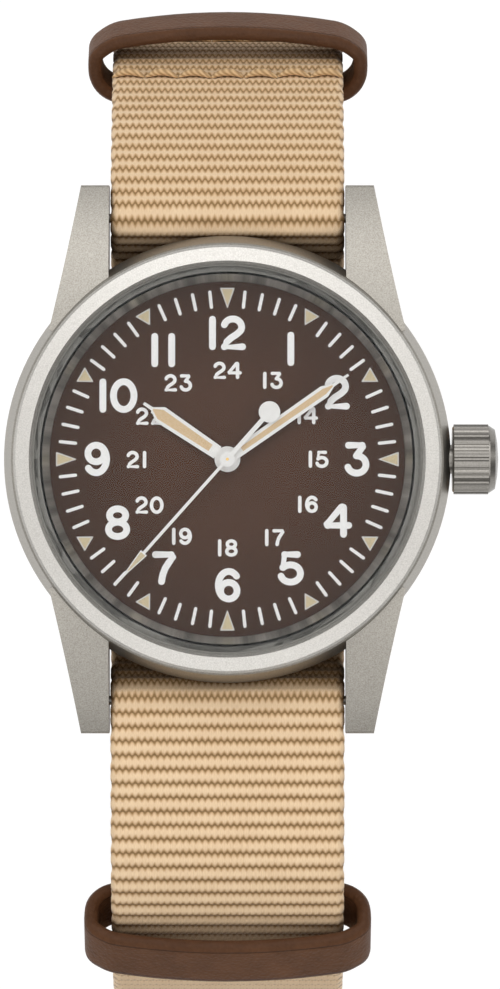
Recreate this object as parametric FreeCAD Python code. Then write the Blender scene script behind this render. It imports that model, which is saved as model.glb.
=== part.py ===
import FreeCAD, Part
import math
import os

V = FreeCAD.Vector
Z_AXIS = V(0, 0, 1)

# A field watch with a hand-wound movement on a long pass-through nylon strap.
# Millimetres. +Z leaves the dial, +Y is twelve o'clock, +X is the crown at three o'clock.
# The watch stands dial up on the flat tail of its strap, and Z = 0 is the surface under it.
# The head is drawn from its own zero, the outer face of the case back, and is lifted last.

# Case
case_radius = 19.15
case_top_step = 0.7
case_foot_step = 2.25
case_foot_height = 0.55
case_waist_height = 3.7
case_top_height = 7.2
case_wall = 4.15
lug_half_length = 23.5
lug_gap = 20.3
lug_tip_width = 2.4
lug_root_angle = 58.0
lug_tip_top = 3.5
lug_tip_bottom = -0.5
lug_edge_round = 0.35
bezel_step = 0.2
bezel_width = 2.25
bezel_height = 1.35
bezel_slope = 0.18
bezel_groove = 0.12
window_chamfer = 0.25

# Crystal and dial opening
crystal_lap = 0.45
crystal_thickness = 1.5
crystal_chamfer = 0.15
gasket_wall = 0.2
flange_width = 0.8
flange_wall = 0.3

# Case back
back_step = 2.55
back_thickness = 1.0
back_thread_step = 1.2
back_thread_height = 1.2
back_notches = 6
back_notch_width = 3.0
back_notch_depth = 0.8
back_dome = 0.25

# Crown, tube and stem
crown_radius = 3.0
crown_length = 3.95
crown_fluted_length = 3.2
crown_flutes = 32
crown_flute_depth = 0.14
crown_end_radius = 2.55
crown_dome = 0.3
crown_height = 3.2
crown_gap = 0.12
crown_pull = 1.1
tube_radius = 1.25
tube_bore = 0.85
tube_reach = 2.2
stem_radius = 0.45

# Movement
holder_gap = 0.05
barrel_distance = 7.45
movement_radius = 12.8
dial_seat = 5.1
plate_thickness = 1.4
bridge_bottom = 1.65
bridge_thickness = 0.7
dial_thickness = 0.4
dial_edge_gap = 0.1
motion_recess = 0.7
running_gap = 0.05
arbor_radius = 0.16
pivot_radius = 0.08
pin_sides = 12
second_arbor_radius = 0.13
centre_tube_radius = 0.3
cannon_pipe_radius = 0.5
hour_pipe_radius = 0.75
roller_radius = 0.55
jewel_radius = 0.4
jewel_thickness = 0.3
wheel_thickness = 0.15
screw_radius = 0.45
screw_head_radius = 0.75
screw_head_height = 0.3
dial_foot_radius = 0.35
lever_arm = 2.15
lever_nose_radius = 0.32
lever_pin_radius = 0.16
lever_post_radius = 0.3
lever_recess = 0.4
lever_room = 0.15

# Tooth counts and modules of the going train, from the barrel to the escape wheel
barrel_teeth = 77
second_pinion_leaves = 11
barrel_module = 0.1143
second_teeth = 80
third_pinion_leaves = 10
second_module = 0.09
third_teeth = 75
fourth_pinion_leaves = 10
third_module = 0.08
fourth_teeth = 80
escape_pinion_leaves = 8
fourth_module = 0.07
escape_teeth = 15
escape_radius = 2.1
barrel_bottom = 2.75
barrel_tooth_height = 0.3
third_wheel_level = 2.87
fourth_wheel_level = 3.12
escape_wheel_level = 3.42

# Motion work under the dial and winding work on the bridge
cannon_leaves = 12
minute_teeth = 36
minute_leaves = 10
hour_teeth = 40
motion_module = 0.1
winding_module = 0.14
crown_wheel_teeth = 32
ratchet_teeth = 50
crown_wheel_x = 6.2
winding_teeth = 16
ratchet_thickness = 0.35

# Where the train stands on the plate, as bearings from the centre
third_bearing = 150.0
escape_bearing = -75.0
minute_wheel_bearing = -50.0
balance_distance = 8.04
balance_bearing = -125.0
balance_radius = 3.6

# Where the screws stand, bridge by bridge
screw_sites = {
    "barrel": [(0.6, 11.3), (10.9, 3.7)],
    "train": [(-8.7, 6.3), (5.4, -5.0)],
    "balance": [(-10.3, -2.6)],
    "pallet": [(0.2, -8.2)],
}

# Hands, all shown at nine minutes past ten
hour_angle = 303.8
minute_angle = 55.1
second_angle = 221.7
hand_thickness = 0.15
hour_hand_reach = 8.6
hour_hand_width = 1.49
hour_hand_root_width = 1.2
minute_hand_reach = 12.6
minute_hand_width = 1.08
minute_needle_from = 11.0
second_hand_reach = 14.45
second_hand_width = 0.27
second_lance_from = 10.7
second_lance_to = 12.9
second_lance_width = 0.71
counterweight_radius = 0.92
counterweight_reach = 5.4
counterweight_stem_width = 0.4
hand_frame = 0.28
hour_hub_radius = 1.1
minute_hub_radius = 0.87
second_hub_radius = 0.67
hour_hand_level = 5.9
hand_step = 0.4

# Webbing, both strips
strap_width = 20.0
strap_thickness = 1.3
strap_gap = 0.15
lay_gap = 0.02
bar_room = 1.55
bar_height = 1.9
bar_radius = 0.75
bar_clearance = 0.1
bar_tip_radius = 0.4
bar_tip_depth = 1.05
bar_piston_length = 1.4
bar_wall = 0.15
strap_climb = 60.0
climb_radius = 1.6

# Run of the strap from the twelve o'clock bar to the buckle
upper_start_slope = 30.0
upper_seam_slope = 56.0
upper_keeper_slope = 58.0
upper_radius = 35.0
upper_side_radius = 20.0
curl_radius = 24.0
curl_turn = 55.0
curl_gap = 0.35
buckle_fold = 8.0
fold_ease = 2.0

# Run of the strap from the six o'clock bar to the tail
lower_start_slope = 4.0
lower_gentle_slope = 13.0
lower_gentle_radius = 80.0
lower_ring_slope = 50.0
lower_ring_radius = 13.0
lower_side_radius = 30.0
lower_table_radius = 18.6
tail_length = 66.0
tail_round = 6.0
tail_holes = 8
tail_hole_radius = 0.9
tail_hole_pitch = 6.5
tail_hole_first = 15.0

# Leather keepers, and the seams that hold them
keeper_band = 4.9
keeper_leather = 1.2
keeper_side_gap = 0.85
keeper_room = 1.2
keeper_corner = 2.4
keeper_inner_corner = 1.2
seam_offset = 1.9
seam_end = 1.4
stitches_per_seam = 7
stitch_pitch = 3.0
stitch_length = 2.2
stitch_radius = 0.3
ring_fold = 6.4
fold_gap = 0.25

# Buckle
buckle_wire = 1.0
buckle_side_gap = 0.3
buckle_inner_length = 10.0
buckle_corner = 2.4
buckle_bar_radius = 0.8
buckle_running_gap = 0.06
tongue_width = 2.2
tongue_thickness = 1.1
tongue_eye_radius = 1.6

# Radii of the case that follow from its own
case_top_radius = case_radius - case_top_step
case_foot_radius = case_radius - case_foot_step
case_bore = case_radius - case_wall
bezel_radius = case_top_radius - bezel_step
window_radius = bezel_radius - bezel_width
crystal_radius = window_radius + crystal_lap
dial_view_radius = window_radius - flange_width
back_radius = case_radius - back_step
back_thread_radius = back_radius - back_thread_step
bar_reach = case_radius + bar_room
buckle_inner_width = strap_width + 2 * buckle_side_gap

# Heights inside the head that several pieces share
crystal_bottom = case_top_height + gasket_wall
holder_bottom = back_thickness + back_thread_height
crown_start = case_radius + crown_gap
dial_top = dial_seat + dial_thickness
plate_bottom = dial_seat - plate_thickness
bridge_top = bridge_bottom + bridge_thickness
bezel_top = case_top_height + bezel_height
dial_radius = dial_view_radius + flange_wall + 0.2
holder_radius = dial_radius + dial_edge_gap
minute_hand_level = hour_hand_level + hand_step
second_hand_level = minute_hand_level + hand_step


# Basic solids, all standing along Z

def disc(radius, bottom, top, x=0.0, y=0.0):
    return Part.makeCylinder(radius, top - bottom, V(x, y, bottom))


def pin(radius, bottom, top, x=0.0, y=0.0, hole=False):
    """A pin, or a hole for one, too small for its roundness to show: a twelve-sided prism."""
    reach = radius / math.cos(math.pi / pin_sides) if hole else radius
    corners = [bearing(reach, 360.0 / pin_sides * (index + 0.5)) for index in range(pin_sides)]
    return slab([(x + px, y + py) for px, py in corners], bottom, top)


def ring(outer, inner, bottom, top, x=0.0, y=0.0):
    return disc(outer, bottom, top, x, y).cut(disc(inner, bottom - 1, top + 1, x, y))


def block(x_low, x_high, y_low, y_high, bottom, top):
    return Part.makeBox(x_high - x_low, y_high - y_low, top - bottom, V(x_low, y_low, bottom))


def rod_x(radius, x_low, x_high, y, z):
    return Part.makeCylinder(radius, x_high - x_low, V(x_low, y, z), V(1, 0, 0))


def turned(profile, axis=Z_AXIS, centre=V(0, 0, 0)):
    """A lathe-turned solid from (radius, height) corners."""
    points = [V(r, 0, z) for r, z in profile]
    face = Part.Face(Part.makePolygon(points + points[:1]))
    return face.revolve(centre, axis, 360)


def slab(corners, bottom, top):
    """A flat plate with straight edges, from its (x, y) corners."""
    points = [V(x, y, bottom) for x, y in corners]
    return Part.Face(Part.makePolygon(points + points[:1])).extrude(V(0, 0, top - bottom))


def bearing(distance, degrees):
    angle = math.radians(degrees)
    return distance * math.cos(angle), distance * math.sin(angle)


def spin(shape, degrees, x=0.0, y=0.0):
    shape.rotate(V(x, y, 0), Z_AXIS, degrees)
    return shape


def one(shapes):
    """Joins shapes into one clean solid."""
    joined = shapes[0].fuse(list(shapes[1:])) if len(shapes) > 1 else shapes[0]
    return joined.removeSplitter()


# Case middle: a turned ring with four lugs that sweep down past the case back

def lug_blank():
    """One lug at +X, +Y: its outline from above, crossed with its profile from the side."""
    inner = lug_gap / 2
    root = bearing(case_radius - 0.35, lug_root_angle - 22)
    tip_x = inner + lug_tip_width
    middle = V(14.0 / 19.15 * case_radius, 0.695 * lug_half_length, 0)
    start = V(root[0], root[1], 0)
    end = V(tip_x, lug_half_length, 0)
    low_inner = V(inner, case_radius * 0.45, 0)
    outline = Part.Wire([
        Part.Arc(start, middle, end).toShape(),
        Part.makeLine(end, V(inner, lug_half_length, 0)),
        Part.makeLine(V(inner, lug_half_length, 0), low_inner),
        Part.makeLine(low_inner, start),
    ])
    low = lug_tip_bottom - 2
    plan = Part.Face(outline).extrude(V(0, 0, 12))
    plan.translate(V(0, 0, low))
    top_start = V(0, case_radius * 0.42, case_top_height - 0.25)
    top_middle = V(0, case_radius * 0.93, case_top_height - 1.25)
    top_end = V(0, lug_half_length, lug_tip_top)
    foot_end = V(0, lug_half_length, lug_tip_bottom)
    foot_middle = V(0, case_radius, case_foot_height - 0.75)
    foot_start = V(0, case_radius * 0.6, case_foot_height)
    side = Part.Wire([
        Part.Arc(top_start, top_middle, top_end).toShape(),
        Part.makeLine(top_end, foot_end),
        Part.Arc(foot_end, foot_middle, foot_start).toShape(),
        Part.makeLine(foot_start, top_start),
    ])
    profile = Part.Face(side).extrude(V(case_radius, 0, 0))
    lug = plan.common(profile)
    tip_edges = [e for e in lug.Edges if at_lug_tip(e)]
    return lug.makeFillet(lug_edge_round, tip_edges)


def at_lug_tip(edge):
    """The two level edges that close a lug's end face."""
    box = edge.BoundBox
    return box.YMin > lug_half_length - 0.01 and box.ZLength < 0.01


def case_middle():
    body = turned([
        (case_bore, case_foot_height),
        (case_foot_radius, case_foot_height),
        (case_radius - 0.45, case_waist_height - 0.6),
        (case_radius, case_waist_height),
        (case_top_radius, case_top_height - 0.15),
        (case_top_radius - 0.15, case_top_height),
        (case_bore, case_top_height),
    ])
    lugs = []
    for mirror_x in (False, True):
        for mirror_y in (False, True):
            lug = lug_blank()
            if mirror_x:
                lug = lug.mirror(V(0, 0, 0), V(1, 0, 0))
            if mirror_y:
                lug = lug.mirror(V(0, 0, 0), V(0, 1, 0))
            lugs.append(lug)
    hollow = disc(back_radius - 0.1, -2, back_thickness + 0.02)
    hollow = hollow.fuse(disc(back_thread_radius + running_gap, 0, back_thickness + back_thread_height))
    seat = disc(holder_radius, dial_seat, case_top_height + 1)
    bore_hole = disc(case_bore, -2, case_top_height + 1)
    middle = one([body] + lugs).cut([hollow, seat, bore_hole])
    hole_end = lug_gap / 2 + bar_tip_depth + 0.1
    cuts = [rod_x(tube_radius, case_bore - 2, case_radius + 1, 0, crown_height)]
    for side in (-1, 1):
        cuts.append(rod_x(bar_tip_radius + 0.04, -hole_end, hole_end, side * bar_reach, bar_height))
    cuts.append(disc(lug_half_length, case_top_height, case_top_height + 3))
    return middle.cut(cuts)


def bezel():
    """The snap-on ring round the crystal, with a fine groove where it meets the case."""
    inner = crystal_radius + gasket_wall
    low = case_top_height
    return turned([
        (inner, low),
        (bezel_radius - 0.2, low),
        (bezel_radius - 0.2, low + bezel_groove),
        (bezel_radius, low + bezel_groove),
        (bezel_radius, bezel_top - bezel_slope - 0.2),
        (bezel_radius - 0.2, bezel_top - bezel_slope),
        (inner + window_chamfer, bezel_top),
        (inner, bezel_top - window_chamfer),
    ])


def crystal():
    top = crystal_bottom + crystal_thickness
    return turned([
        (0, crystal_bottom),
        (crystal_radius, crystal_bottom),
        (crystal_radius, top - crystal_chamfer),
        (crystal_radius - crystal_chamfer, top),
        (0, top),
    ])


def crystal_gasket():
    """An L-section ring under and round the crystal's edge."""
    low = crystal_bottom - gasket_wall
    return turned([
        (window_radius, low),
        (crystal_radius + gasket_wall, low),
        (crystal_radius + gasket_wall, bezel_top - 0.5),
        (crystal_radius, bezel_top - 0.5),
        (crystal_radius, crystal_bottom),
        (window_radius, crystal_bottom),
    ])


def flange_ring():
    """The sloping ring between the dial and the crystal."""
    top = case_top_height
    return turned([
        (dial_view_radius, dial_top),
        (holder_radius, dial_top),
        (holder_radius, top),
        (window_radius, top),
        (window_radius - 0.15, top - 0.02),
        (dial_view_radius, dial_top + 0.25),
    ])


def case_back():
    """A screwed lid: a domed disc with key notches, and a threaded skirt inside."""
    lip = back_thickness * 0.45
    lid = turned([
        (0, 0),
        (back_radius - 1.6, 0),
        (back_radius - 0.15, back_dome),
        (back_radius - 0.15, lip),
        (back_radius - 0.15, back_thickness),
        (back_thread_radius, back_thickness),
        (back_thread_radius, back_thickness + back_thread_height - 0.1),
        (case_bore - 0.6, back_thickness + back_thread_height - 0.1),
        (case_bore - 0.6, back_thickness - 0.1),
        (0, back_thickness - 0.1),
    ])
    notches = []
    for index in range(back_notches):
        notch = block(back_radius - 1.6, back_radius + 1,
                      -back_notch_width / 2, back_notch_width / 2, -1, back_notch_depth * 0.6)
        notches.append(spin(notch, (index + 0.5) * 360.0 / back_notches))
    return lid.cut(notches)


def case_back_gasket():
    """A round-section rubber ring in the corner behind the threaded skirt."""
    low = back_thickness + back_thread_height - 0.1
    return ring(back_thread_radius, back_thread_radius - 0.8, low, low + 0.1)


def crown_tube():
    """The pressed-in tube that the crown's gasket runs on."""
    inner = back_thread_radius + 2 * running_gap
    outer = case_radius + tube_reach
    tube = rod_x(tube_radius, inner, outer, 0, crown_height)
    return tube.cut(rod_x(tube_bore, inner - 1, outer + 1, 0, crown_height))


# Crown and stem, turned about the X axis through the case wall

def along_x(shape, x):
    """Lays a solid that was turned about Z along X, at the height of the crown."""
    shape.rotate(V(0, 0, 0), V(0, 1, 0), 90)
    shape.translate(V(x, 0, crown_height))
    return shape


def crown():
    """A turned core with a domed end, and the fluted sleeve that the fingers hold."""
    edge = 0.12
    recess = tube_radius + 0.45
    recess_depth = tube_reach + 0.2
    root = crown_radius - crown_flute_depth
    core = turned([
        (stem_radius, recess_depth + 1.0),
        (stem_radius, recess_depth),
        (recess, recess_depth),
        (recess, 0),
        (root - edge, 0),
        (root, edge),
        (root, crown_fluted_length),
        (crown_end_radius, crown_length - crown_dome),
        (crown_end_radius * 0.6, crown_length - crown_dome * 0.35),
        (0, crown_length),
        (0, recess_depth + 1.0),
    ])
    step = 360.0 / crown_flutes
    outline = []
    for index in range(crown_flutes):
        for share, depth in ((-0.34, 0.6), (-0.14, 0.0), (0.14, 0.0), (0.34, 0.6)):
            outline.append(bearing(crown_radius - crown_flute_depth * depth, (index + share) * step))
    sleeve = slab(outline, edge, crown_fluted_length - edge).cut(disc(root - 0.3, -1, crown_length))
    return along_x(one([core, sleeve]), crown_start)


def crown_gasket():
    return along_x(ring(tube_radius + 0.45, tube_radius + 0.03, 0.2, 0.7), crown_start)


def winding_stem():
    """The steel rod from the crown to the plate, with the groove that the setting lever holds."""
    inner_end = stem_inner_end
    outer_end = crown_start + tube_reach + 1.2
    groove = lever_pin_x
    rod = rod_x(stem_radius, inner_end, outer_end, 0, crown_height)
    notch = rod_x(stem_radius + 0.2, groove - 0.22, groove + 0.22, 0, crown_height)
    neck = rod_x(stem_radius * 0.55, groove - 0.22, groove + 0.22, 0, crown_height)
    return rod.cut(notch.cut(neck))


def stem_wheel(tip_radius, face_teeth, x_low, x_high, hole):
    """A small pinion on the stem, with its teeth cut round its rim."""
    module = tip_radius / (face_teeth / 2 + 0.85)
    wheel = toothed(face_teeth, module, 0, x_high - x_low)
    wheel = wheel.cut(disc(hole, -1, x_high - x_low + 1))
    return along_x(wheel, x_low)


def winding_pinion():
    x_high = crown_wheel_x + crown_wheel_pitch + 0.5
    return stem_wheel(winding_radius, winding_teeth, x_high - 0.7, x_high, stem_radius + running_gap)


def sliding_pinion():
    x_high = crown_wheel_x + crown_wheel_pitch - 0.3
    return stem_wheel(sliding_radius, winding_teeth, x_high - 1.3, x_high, stem_radius + running_gap)


# Wheels: pointed leaves round a disc, with crossed-out spokes

def toothed(teeth, module, bottom, top, x=0.0, y=0.0, toward=0.0, gap=False):
    """A toothed disc with a tooth, or a gap, that points at the bearing it meshes toward."""
    pitch = teeth * module / 2
    tip = pitch + module * 0.85
    root = pitch - module * 1.15
    step = 360.0 / teeth
    first = toward + (step / 2 if gap else 0)
    corners = []
    for index in range(teeth):
        middle = first + index * step
        for radius, share in ((root, -0.3), (tip, 0.0), (root, 0.3)):
            px, py = bearing(radius, middle + share * step)
            corners.append((x + px, y + py))
    return slab(corners, bottom, top)


def crossed(wheel, rim, hub, spokes, spoke_width, x, y, bottom, top):
    """Cuts the openings between a wheel's spokes."""
    opening = ring(rim, hub, bottom - 0.5, top + 0.5, x, y)
    bars = []
    for index in range(spokes):
        bar = block(0, rim + 1, -spoke_width / 2, spoke_width / 2, bottom - 1, top + 1)
        bar.translate(V(x, y, 0))
        bars.append(spin(bar, 360.0 / spokes * index + 20, x, y))
    return wheel.cut(opening.cut(bars))


def arbor(x, y, low=None, high=None):
    """A wheel's steel axle, stepped down to a pivot at each end."""
    body = disc(arbor_radius, bridge_top + 0.05, plate_bottom - 0.05, x, y)
    pivot = pin(pivot_radius, low or bridge_top - jewel_thickness,
                high or plate_bottom + jewel_thickness, x, y)
    return body.fuse(pivot)


def meet(first, first_distance, second, second_distance, side):
    """The point at given distances from two others, on the left (1) or right (-1) of their line."""
    dx = second[0] - first[0]
    dy = second[1] - first[1]
    span = math.hypot(dx, dy)
    along = (first_distance ** 2 - second_distance ** 2 + span ** 2) / (2 * span)
    across = side * math.sqrt(first_distance ** 2 - along ** 2)
    return (first[0] + (along * dx - across * dy) / span,
            first[1] + (along * dy + across * dx) / span)


def facing(from_point, to_point):
    return math.degrees(math.atan2(to_point[1] - from_point[1], to_point[0] - from_point[0]))


# Places of the train on the plate, worked out from the teeth
centre_at = (0.0, 0.0)
crown_wheel_pitch = winding_module * crown_wheel_teeth / 2
ratchet_pitch = winding_module * ratchet_teeth / 2
ratchet_level = bridge_bottom - ratchet_thickness - 0.03
winding_radius = crown_height - ratchet_level - ratchet_thickness - 0.02
sliding_radius = crown_height - bridge_top - running_gap
stem_inner_end = crown_wheel_x - 1.4
crown_wheel_at = (crown_wheel_x, 0.0)
barrel_at = meet(centre_at, barrel_distance, crown_wheel_at, crown_wheel_pitch + ratchet_pitch, 1)
third_at = bearing(third_module * (third_teeth + fourth_pinion_leaves) / 2, third_bearing)
second_at = meet(third_at, second_module * (second_teeth + third_pinion_leaves) / 2,
                 barrel_at, barrel_module * (barrel_teeth + second_pinion_leaves) / 2, 1)
escape_at = bearing(fourth_module * (fourth_teeth + escape_pinion_leaves) / 2, escape_bearing)
balance_at = bearing(balance_distance, balance_bearing)
pallet_run = bearing(escape_radius * 1.19, facing(escape_at, balance_at))
pallet_at = (escape_at[0] + pallet_run[0], escape_at[1] + pallet_run[1])
minute_wheel_at = bearing(motion_module * (cannon_leaves + minute_teeth) / 2, minute_wheel_bearing)
lever_pin_x = movement_radius - 2.6
lever_pivot_at = (lever_pin_x, -lever_arm - 0.15)

# Levels of the train between bridge and plate
second_wheel_level = bridge_top + 0.1
barrel_top = plate_bottom - 0.08


def barrel_drum():
    x, y = barrel_at
    pitch = barrel_module * barrel_teeth / 2
    wall = pitch - 0.35
    rim = toothed(barrel_teeth, barrel_module, barrel_top - barrel_tooth_height, barrel_top, x, y,
                  facing(barrel_at, second_at))
    drum = one([rim, disc(wall, barrel_bottom, barrel_top, x, y)])
    hollow = disc(wall - 0.25, barrel_bottom + 0.15, barrel_top - 0.15, x, y)
    return drum.cut([hollow, disc(0.45 + running_gap, 0, barrel_top + 1, x, y)])


def spiral(x, y, inner, outer, turns, width, bottom, top, steps):
    """A flat coiled strip, as one closed outline on both sides of the spiral line."""
    out_side = []
    in_side = []
    for index in range(turns * steps + 1):
        radius = inner + (outer - inner) * index / (turns * steps)
        angle = 360.0 / steps * index
        px, py = bearing(radius + width / 2, angle)
        qx, qy = bearing(radius - width / 2, angle)
        out_side.append((x + px, y + py))
        in_side.append((x + qx, y + qy))
    return slab(out_side + in_side[::-1], bottom, top)


def mainspring():
    x, y = barrel_at
    outer = barrel_module * barrel_teeth / 2 - 0.35 - 0.25
    return spiral(x, y, outer - 1.9, outer - 0.2, 5, 0.14, barrel_bottom + 0.2, barrel_top - 0.2, 16)


def barrel_arbor():
    """The drum's axle: a core inside the spring, and a square for the ratchet wheel."""
    x, y = barrel_at
    core = disc(1.0, barrel_bottom + 0.2, barrel_top - 0.2, x, y)
    axle = disc(0.45, bridge_bottom, plate_bottom + 0.8, x, y)
    square = block(x - 0.32, x + 0.32, y - 0.32, y + 0.32, ratchet_level, bridge_bottom)
    head = disc(0.8, ratchet_level - 0.15, ratchet_level, x, y)
    return one([core, axle, square, head])


def ratchet_wheel():
    x, y = barrel_at
    wheel = toothed(ratchet_teeth, winding_module, ratchet_level, ratchet_level + ratchet_thickness, x, y,
                    facing(barrel_at, crown_wheel_at))
    return wheel.cut(block(x - 0.33, x + 0.33, y - 0.33, y + 0.33, 0, 3))


def crown_wheel():
    """The wheel between the winding pinion and the ratchet wheel, on a boss of the bridge."""
    x, y = crown_wheel_at
    wheel = toothed(crown_wheel_teeth, winding_module, ratchet_level, ratchet_level + ratchet_thickness, x, y,
                    facing(crown_wheel_at, barrel_at), gap=True)
    return wheel.cut(disc(0.7 + running_gap, 0, 3, x, y))


def click():
    """The small pawl that keeps the ratchet wheel from running back, with its spring arm."""
    x, y = click_at
    body = disc(0.7, ratchet_level, ratchet_level + ratchet_thickness, x, y)
    toward = facing(click_at, barrel_at)
    reach = math.hypot(barrel_at[0] - x, barrel_at[1] - y) - ratchet_pitch - winding_module * 0.95
    beak = slab([(-0.35, -0.45), (reach, -0.05), (reach, 0.05), (-0.2, 0.5)], ratchet_level,
                ratchet_level + ratchet_thickness)
    beak.translate(V(x, y, 0))
    spin(beak, toward, x, y)
    arm = block(-1.6, -0.4, -0.1, 0.1, ratchet_level, ratchet_level + ratchet_thickness)
    arm.translate(V(x, y, 0))
    spin(arm, toward, x, y)
    return one([body, beak, arm]).cut(disc(screw_radius * 0.8 + running_gap, 0, 3, x, y))


click_run = bearing(ratchet_pitch + 1.5, 145.0)
click_at = (barrel_at[0] + click_run[0], barrel_at[1] + click_run[1])


def train_wheel(at, teeth, module, level, leaves, leaf_module, leaf_low, leaf_high, wheel_to, leaf_to):
    """A brass wheel and its steel pinion on one arbor."""
    x, y = at
    rim = module * teeth / 2 - module * 1.2 - 0.25
    wheel = toothed(teeth, module, level, level + wheel_thickness, x, y, facing(at, wheel_to))
    hub = leaf_module * leaves / 2 + leaf_module + 0.1
    wheel = crossed(wheel, rim, hub, 5, 0.3, x, y, level, level + wheel_thickness)
    pinion = toothed(leaves, leaf_module, leaf_low, leaf_high, x, y, facing(at, leaf_to), gap=True)
    return wheel, pinion


def second_wheel():
    level = second_wheel_level
    wheel, pinion = train_wheel(second_at, second_teeth, second_module, level, second_pinion_leaves,
                                barrel_module, level, barrel_top, third_at, barrel_at)
    return one([wheel, pinion, arbor(*second_at)])


def third_wheel():
    level = third_wheel_level
    wheel, pinion = train_wheel(third_at, third_teeth, third_module, level, third_pinion_leaves,
                                second_module, second_wheel_level - 0.03, level, centre_at, second_at)
    return one([wheel, pinion, arbor(*third_at)])


def fourth_wheel():
    """The centre-seconds wheel, whose arbor runs up through the plate and carries the hand."""
    level = fourth_wheel_level
    wheel, pinion = train_wheel(centre_at, fourth_teeth, fourth_module, level, fourth_pinion_leaves,
                                third_module, third_wheel_level - 0.05, level, escape_at, third_at)
    long_pivot = disc(second_arbor_radius, plate_bottom - 0.1, second_hand_level + hand_thickness)
    return one([wheel, pinion, arbor(0, 0), long_pivot])


def escape_wheel():
    """Fifteen hooked teeth, driven through an eight-leaf pinion."""
    x, y = escape_at
    low = escape_wheel_level
    corners = []
    for index in range(escape_teeth):
        middle = 360.0 / escape_teeth * index
        for radius, turn in ((escape_radius - 0.5, -5.0), (escape_radius - 0.06, 4.0), (escape_radius, 7.0),
                             (escape_radius - 0.5, 4.5)):
            px, py = bearing(radius, middle + turn)
            corners.append((x + px, y + py))
    wheel = slab(corners, low, low + wheel_thickness)
    wheel = crossed(wheel, escape_radius - 0.75, 0.5, 4, 0.25, x, y, low, low + wheel_thickness)
    pinion = toothed(escape_pinion_leaves, fourth_module, fourth_wheel_level - 0.1, low, x, y,
                     facing(escape_at, centre_at), gap=True)
    return one([wheel, pinion, arbor(x, y)])


def strut(start, end, width, bottom, top):
    """A straight bar between two points of the plan."""
    length = math.hypot(end[0] - start[0], end[1] - start[1])
    bar = block(0, length, -width / 2, width / 2, bottom, top)
    bar.translate(V(start[0], start[1], 0))
    return spin(bar, facing(start, end), start[0], start[1])


def pallet_fork():
    """The lever: two stones that face the escape wheel, and a fork that meets the balance."""
    x, y = pallet_at
    low = escape_wheel_level
    top = low + wheel_thickness
    home = facing(pallet_at, escape_at)
    stones = []
    for side in (-1, 1):
        arm_end = bearing(0.95, home + side * 78)
        start = (x + arm_end[0], y + arm_end[1])
        tip = bearing(escape_radius + 0.06, home + 180 - side * 29)
        stone_end = (escape_at[0] + tip[0], escape_at[1] + tip[1])
        stones.append(strut(pallet_at, start, 0.4, low, top))
        stones.append(strut(start, stone_end, 0.28, low, top))
        stones.append(disc(0.2, low, top, *start))
    reach = math.hypot(balance_at[0] - x, balance_at[1] - y) - roller_radius - 0.3
    out = facing(pallet_at, balance_at)
    fork_end = bearing(reach, out)
    end = (x + fork_end[0], y + fork_end[1])
    lever = strut(pallet_at, end, 0.3, low, top)
    horns = disc(0.42, low, top, *end)
    slot_end = bearing(reach + 1, out)
    slot = strut(end, (x + slot_end[0], y + slot_end[1]), 0.26, low - 1, top + 1)
    body = one([disc(0.4, low, top, x, y), lever, horns] + stones + [arbor(x, y)])
    return body.cut(slot)


def balance_wheel():
    """A heavy rim on two arms, its staff, and the roller that knocks the fork."""
    x, y = balance_at
    low = 2.85
    rim = ring(balance_radius, balance_radius - 0.45, low, low + 0.35, x, y)
    arm_run = bearing(balance_radius - 0.2, 35)
    arms = strut((x - arm_run[0], y - arm_run[1]), (x + arm_run[0], y + arm_run[1]), 0.45,
                 low + 0.08, low + 0.27)
    hub = disc(0.6, low, low + 0.35, x, y)
    roller = disc(roller_radius, low + 0.3, escape_wheel_level - 0.05, x, y)
    toward = bearing(roller_radius - 0.12, facing(balance_at, pallet_at))
    jewel = disc(0.1, escape_wheel_level - 0.06, escape_wheel_level + wheel_thickness,
                 x + toward[0], y + toward[1])
    staff = disc(arbor_radius, bridge_top + 0.05, plate_bottom - 0.05, x, y)
    return one([rim, arms, hub, roller, jewel, staff, arbor(x, y)])


def hairspring():
    x, y = balance_at
    return one([spiral(x, y, 0.55, 1.9, 5, 0.09, 2.5, 2.66, 16),
                ring(0.62, arbor_radius, 2.5, 2.66, x, y)])


# Motion work between plate and dial, and the keyless work on the plate

recess_floor = dial_seat - motion_recess
minute_teeth_low = recess_floor + 0.1
minute_teeth_high = minute_teeth_low + 0.16
hour_teeth_low = minute_teeth_high + 0.06
hour_teeth_high = hour_teeth_low + 0.2
hour_module = motion_module * (cannon_leaves + minute_teeth) / (minute_leaves + hour_teeth)


def cannon_pinion():
    """A pipe with twelve leaves that carries the minute hand and slips on the centre tube."""
    leaves = toothed(cannon_leaves, motion_module, recess_floor + 0.05, minute_teeth_high + 0.02, 0, 0,
                     minute_wheel_bearing)
    pipe = disc(cannon_pipe_radius, recess_floor + 0.05, minute_hand_level + hand_thickness)
    bore = disc(centre_tube_radius + running_gap, 0, minute_hand_level + 1)
    return one([leaves, pipe]).cut(bore)


def minute_wheel():
    x, y = minute_wheel_at
    toward = minute_wheel_bearing + 180
    wheel = toothed(minute_teeth, motion_module, minute_teeth_low, minute_teeth_high, x, y, toward, gap=True)
    pinion = toothed(minute_leaves, hour_module, minute_teeth_low, hour_teeth_high, x, y, toward)
    return one([wheel, pinion]).cut(disc(0.22 + running_gap, 0, 9, x, y))


def hour_wheel():
    """The forty-tooth wheel whose pipe carries the hour hand."""
    wheel = toothed(hour_teeth, hour_module, hour_teeth_low, hour_teeth_high, 0, 0,
                    minute_wheel_bearing, gap=True)
    pipe = disc(hour_pipe_radius, hour_teeth_low, hour_hand_level + hand_thickness)
    bore = disc(cannon_pipe_radius + running_gap + 0.03, 0, 9)
    clear = disc(motion_module * cannon_leaves / 2 + motion_module + 0.05, 0, hour_teeth_low)
    return one([wheel, pipe]).cut([bore, clear])


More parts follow.
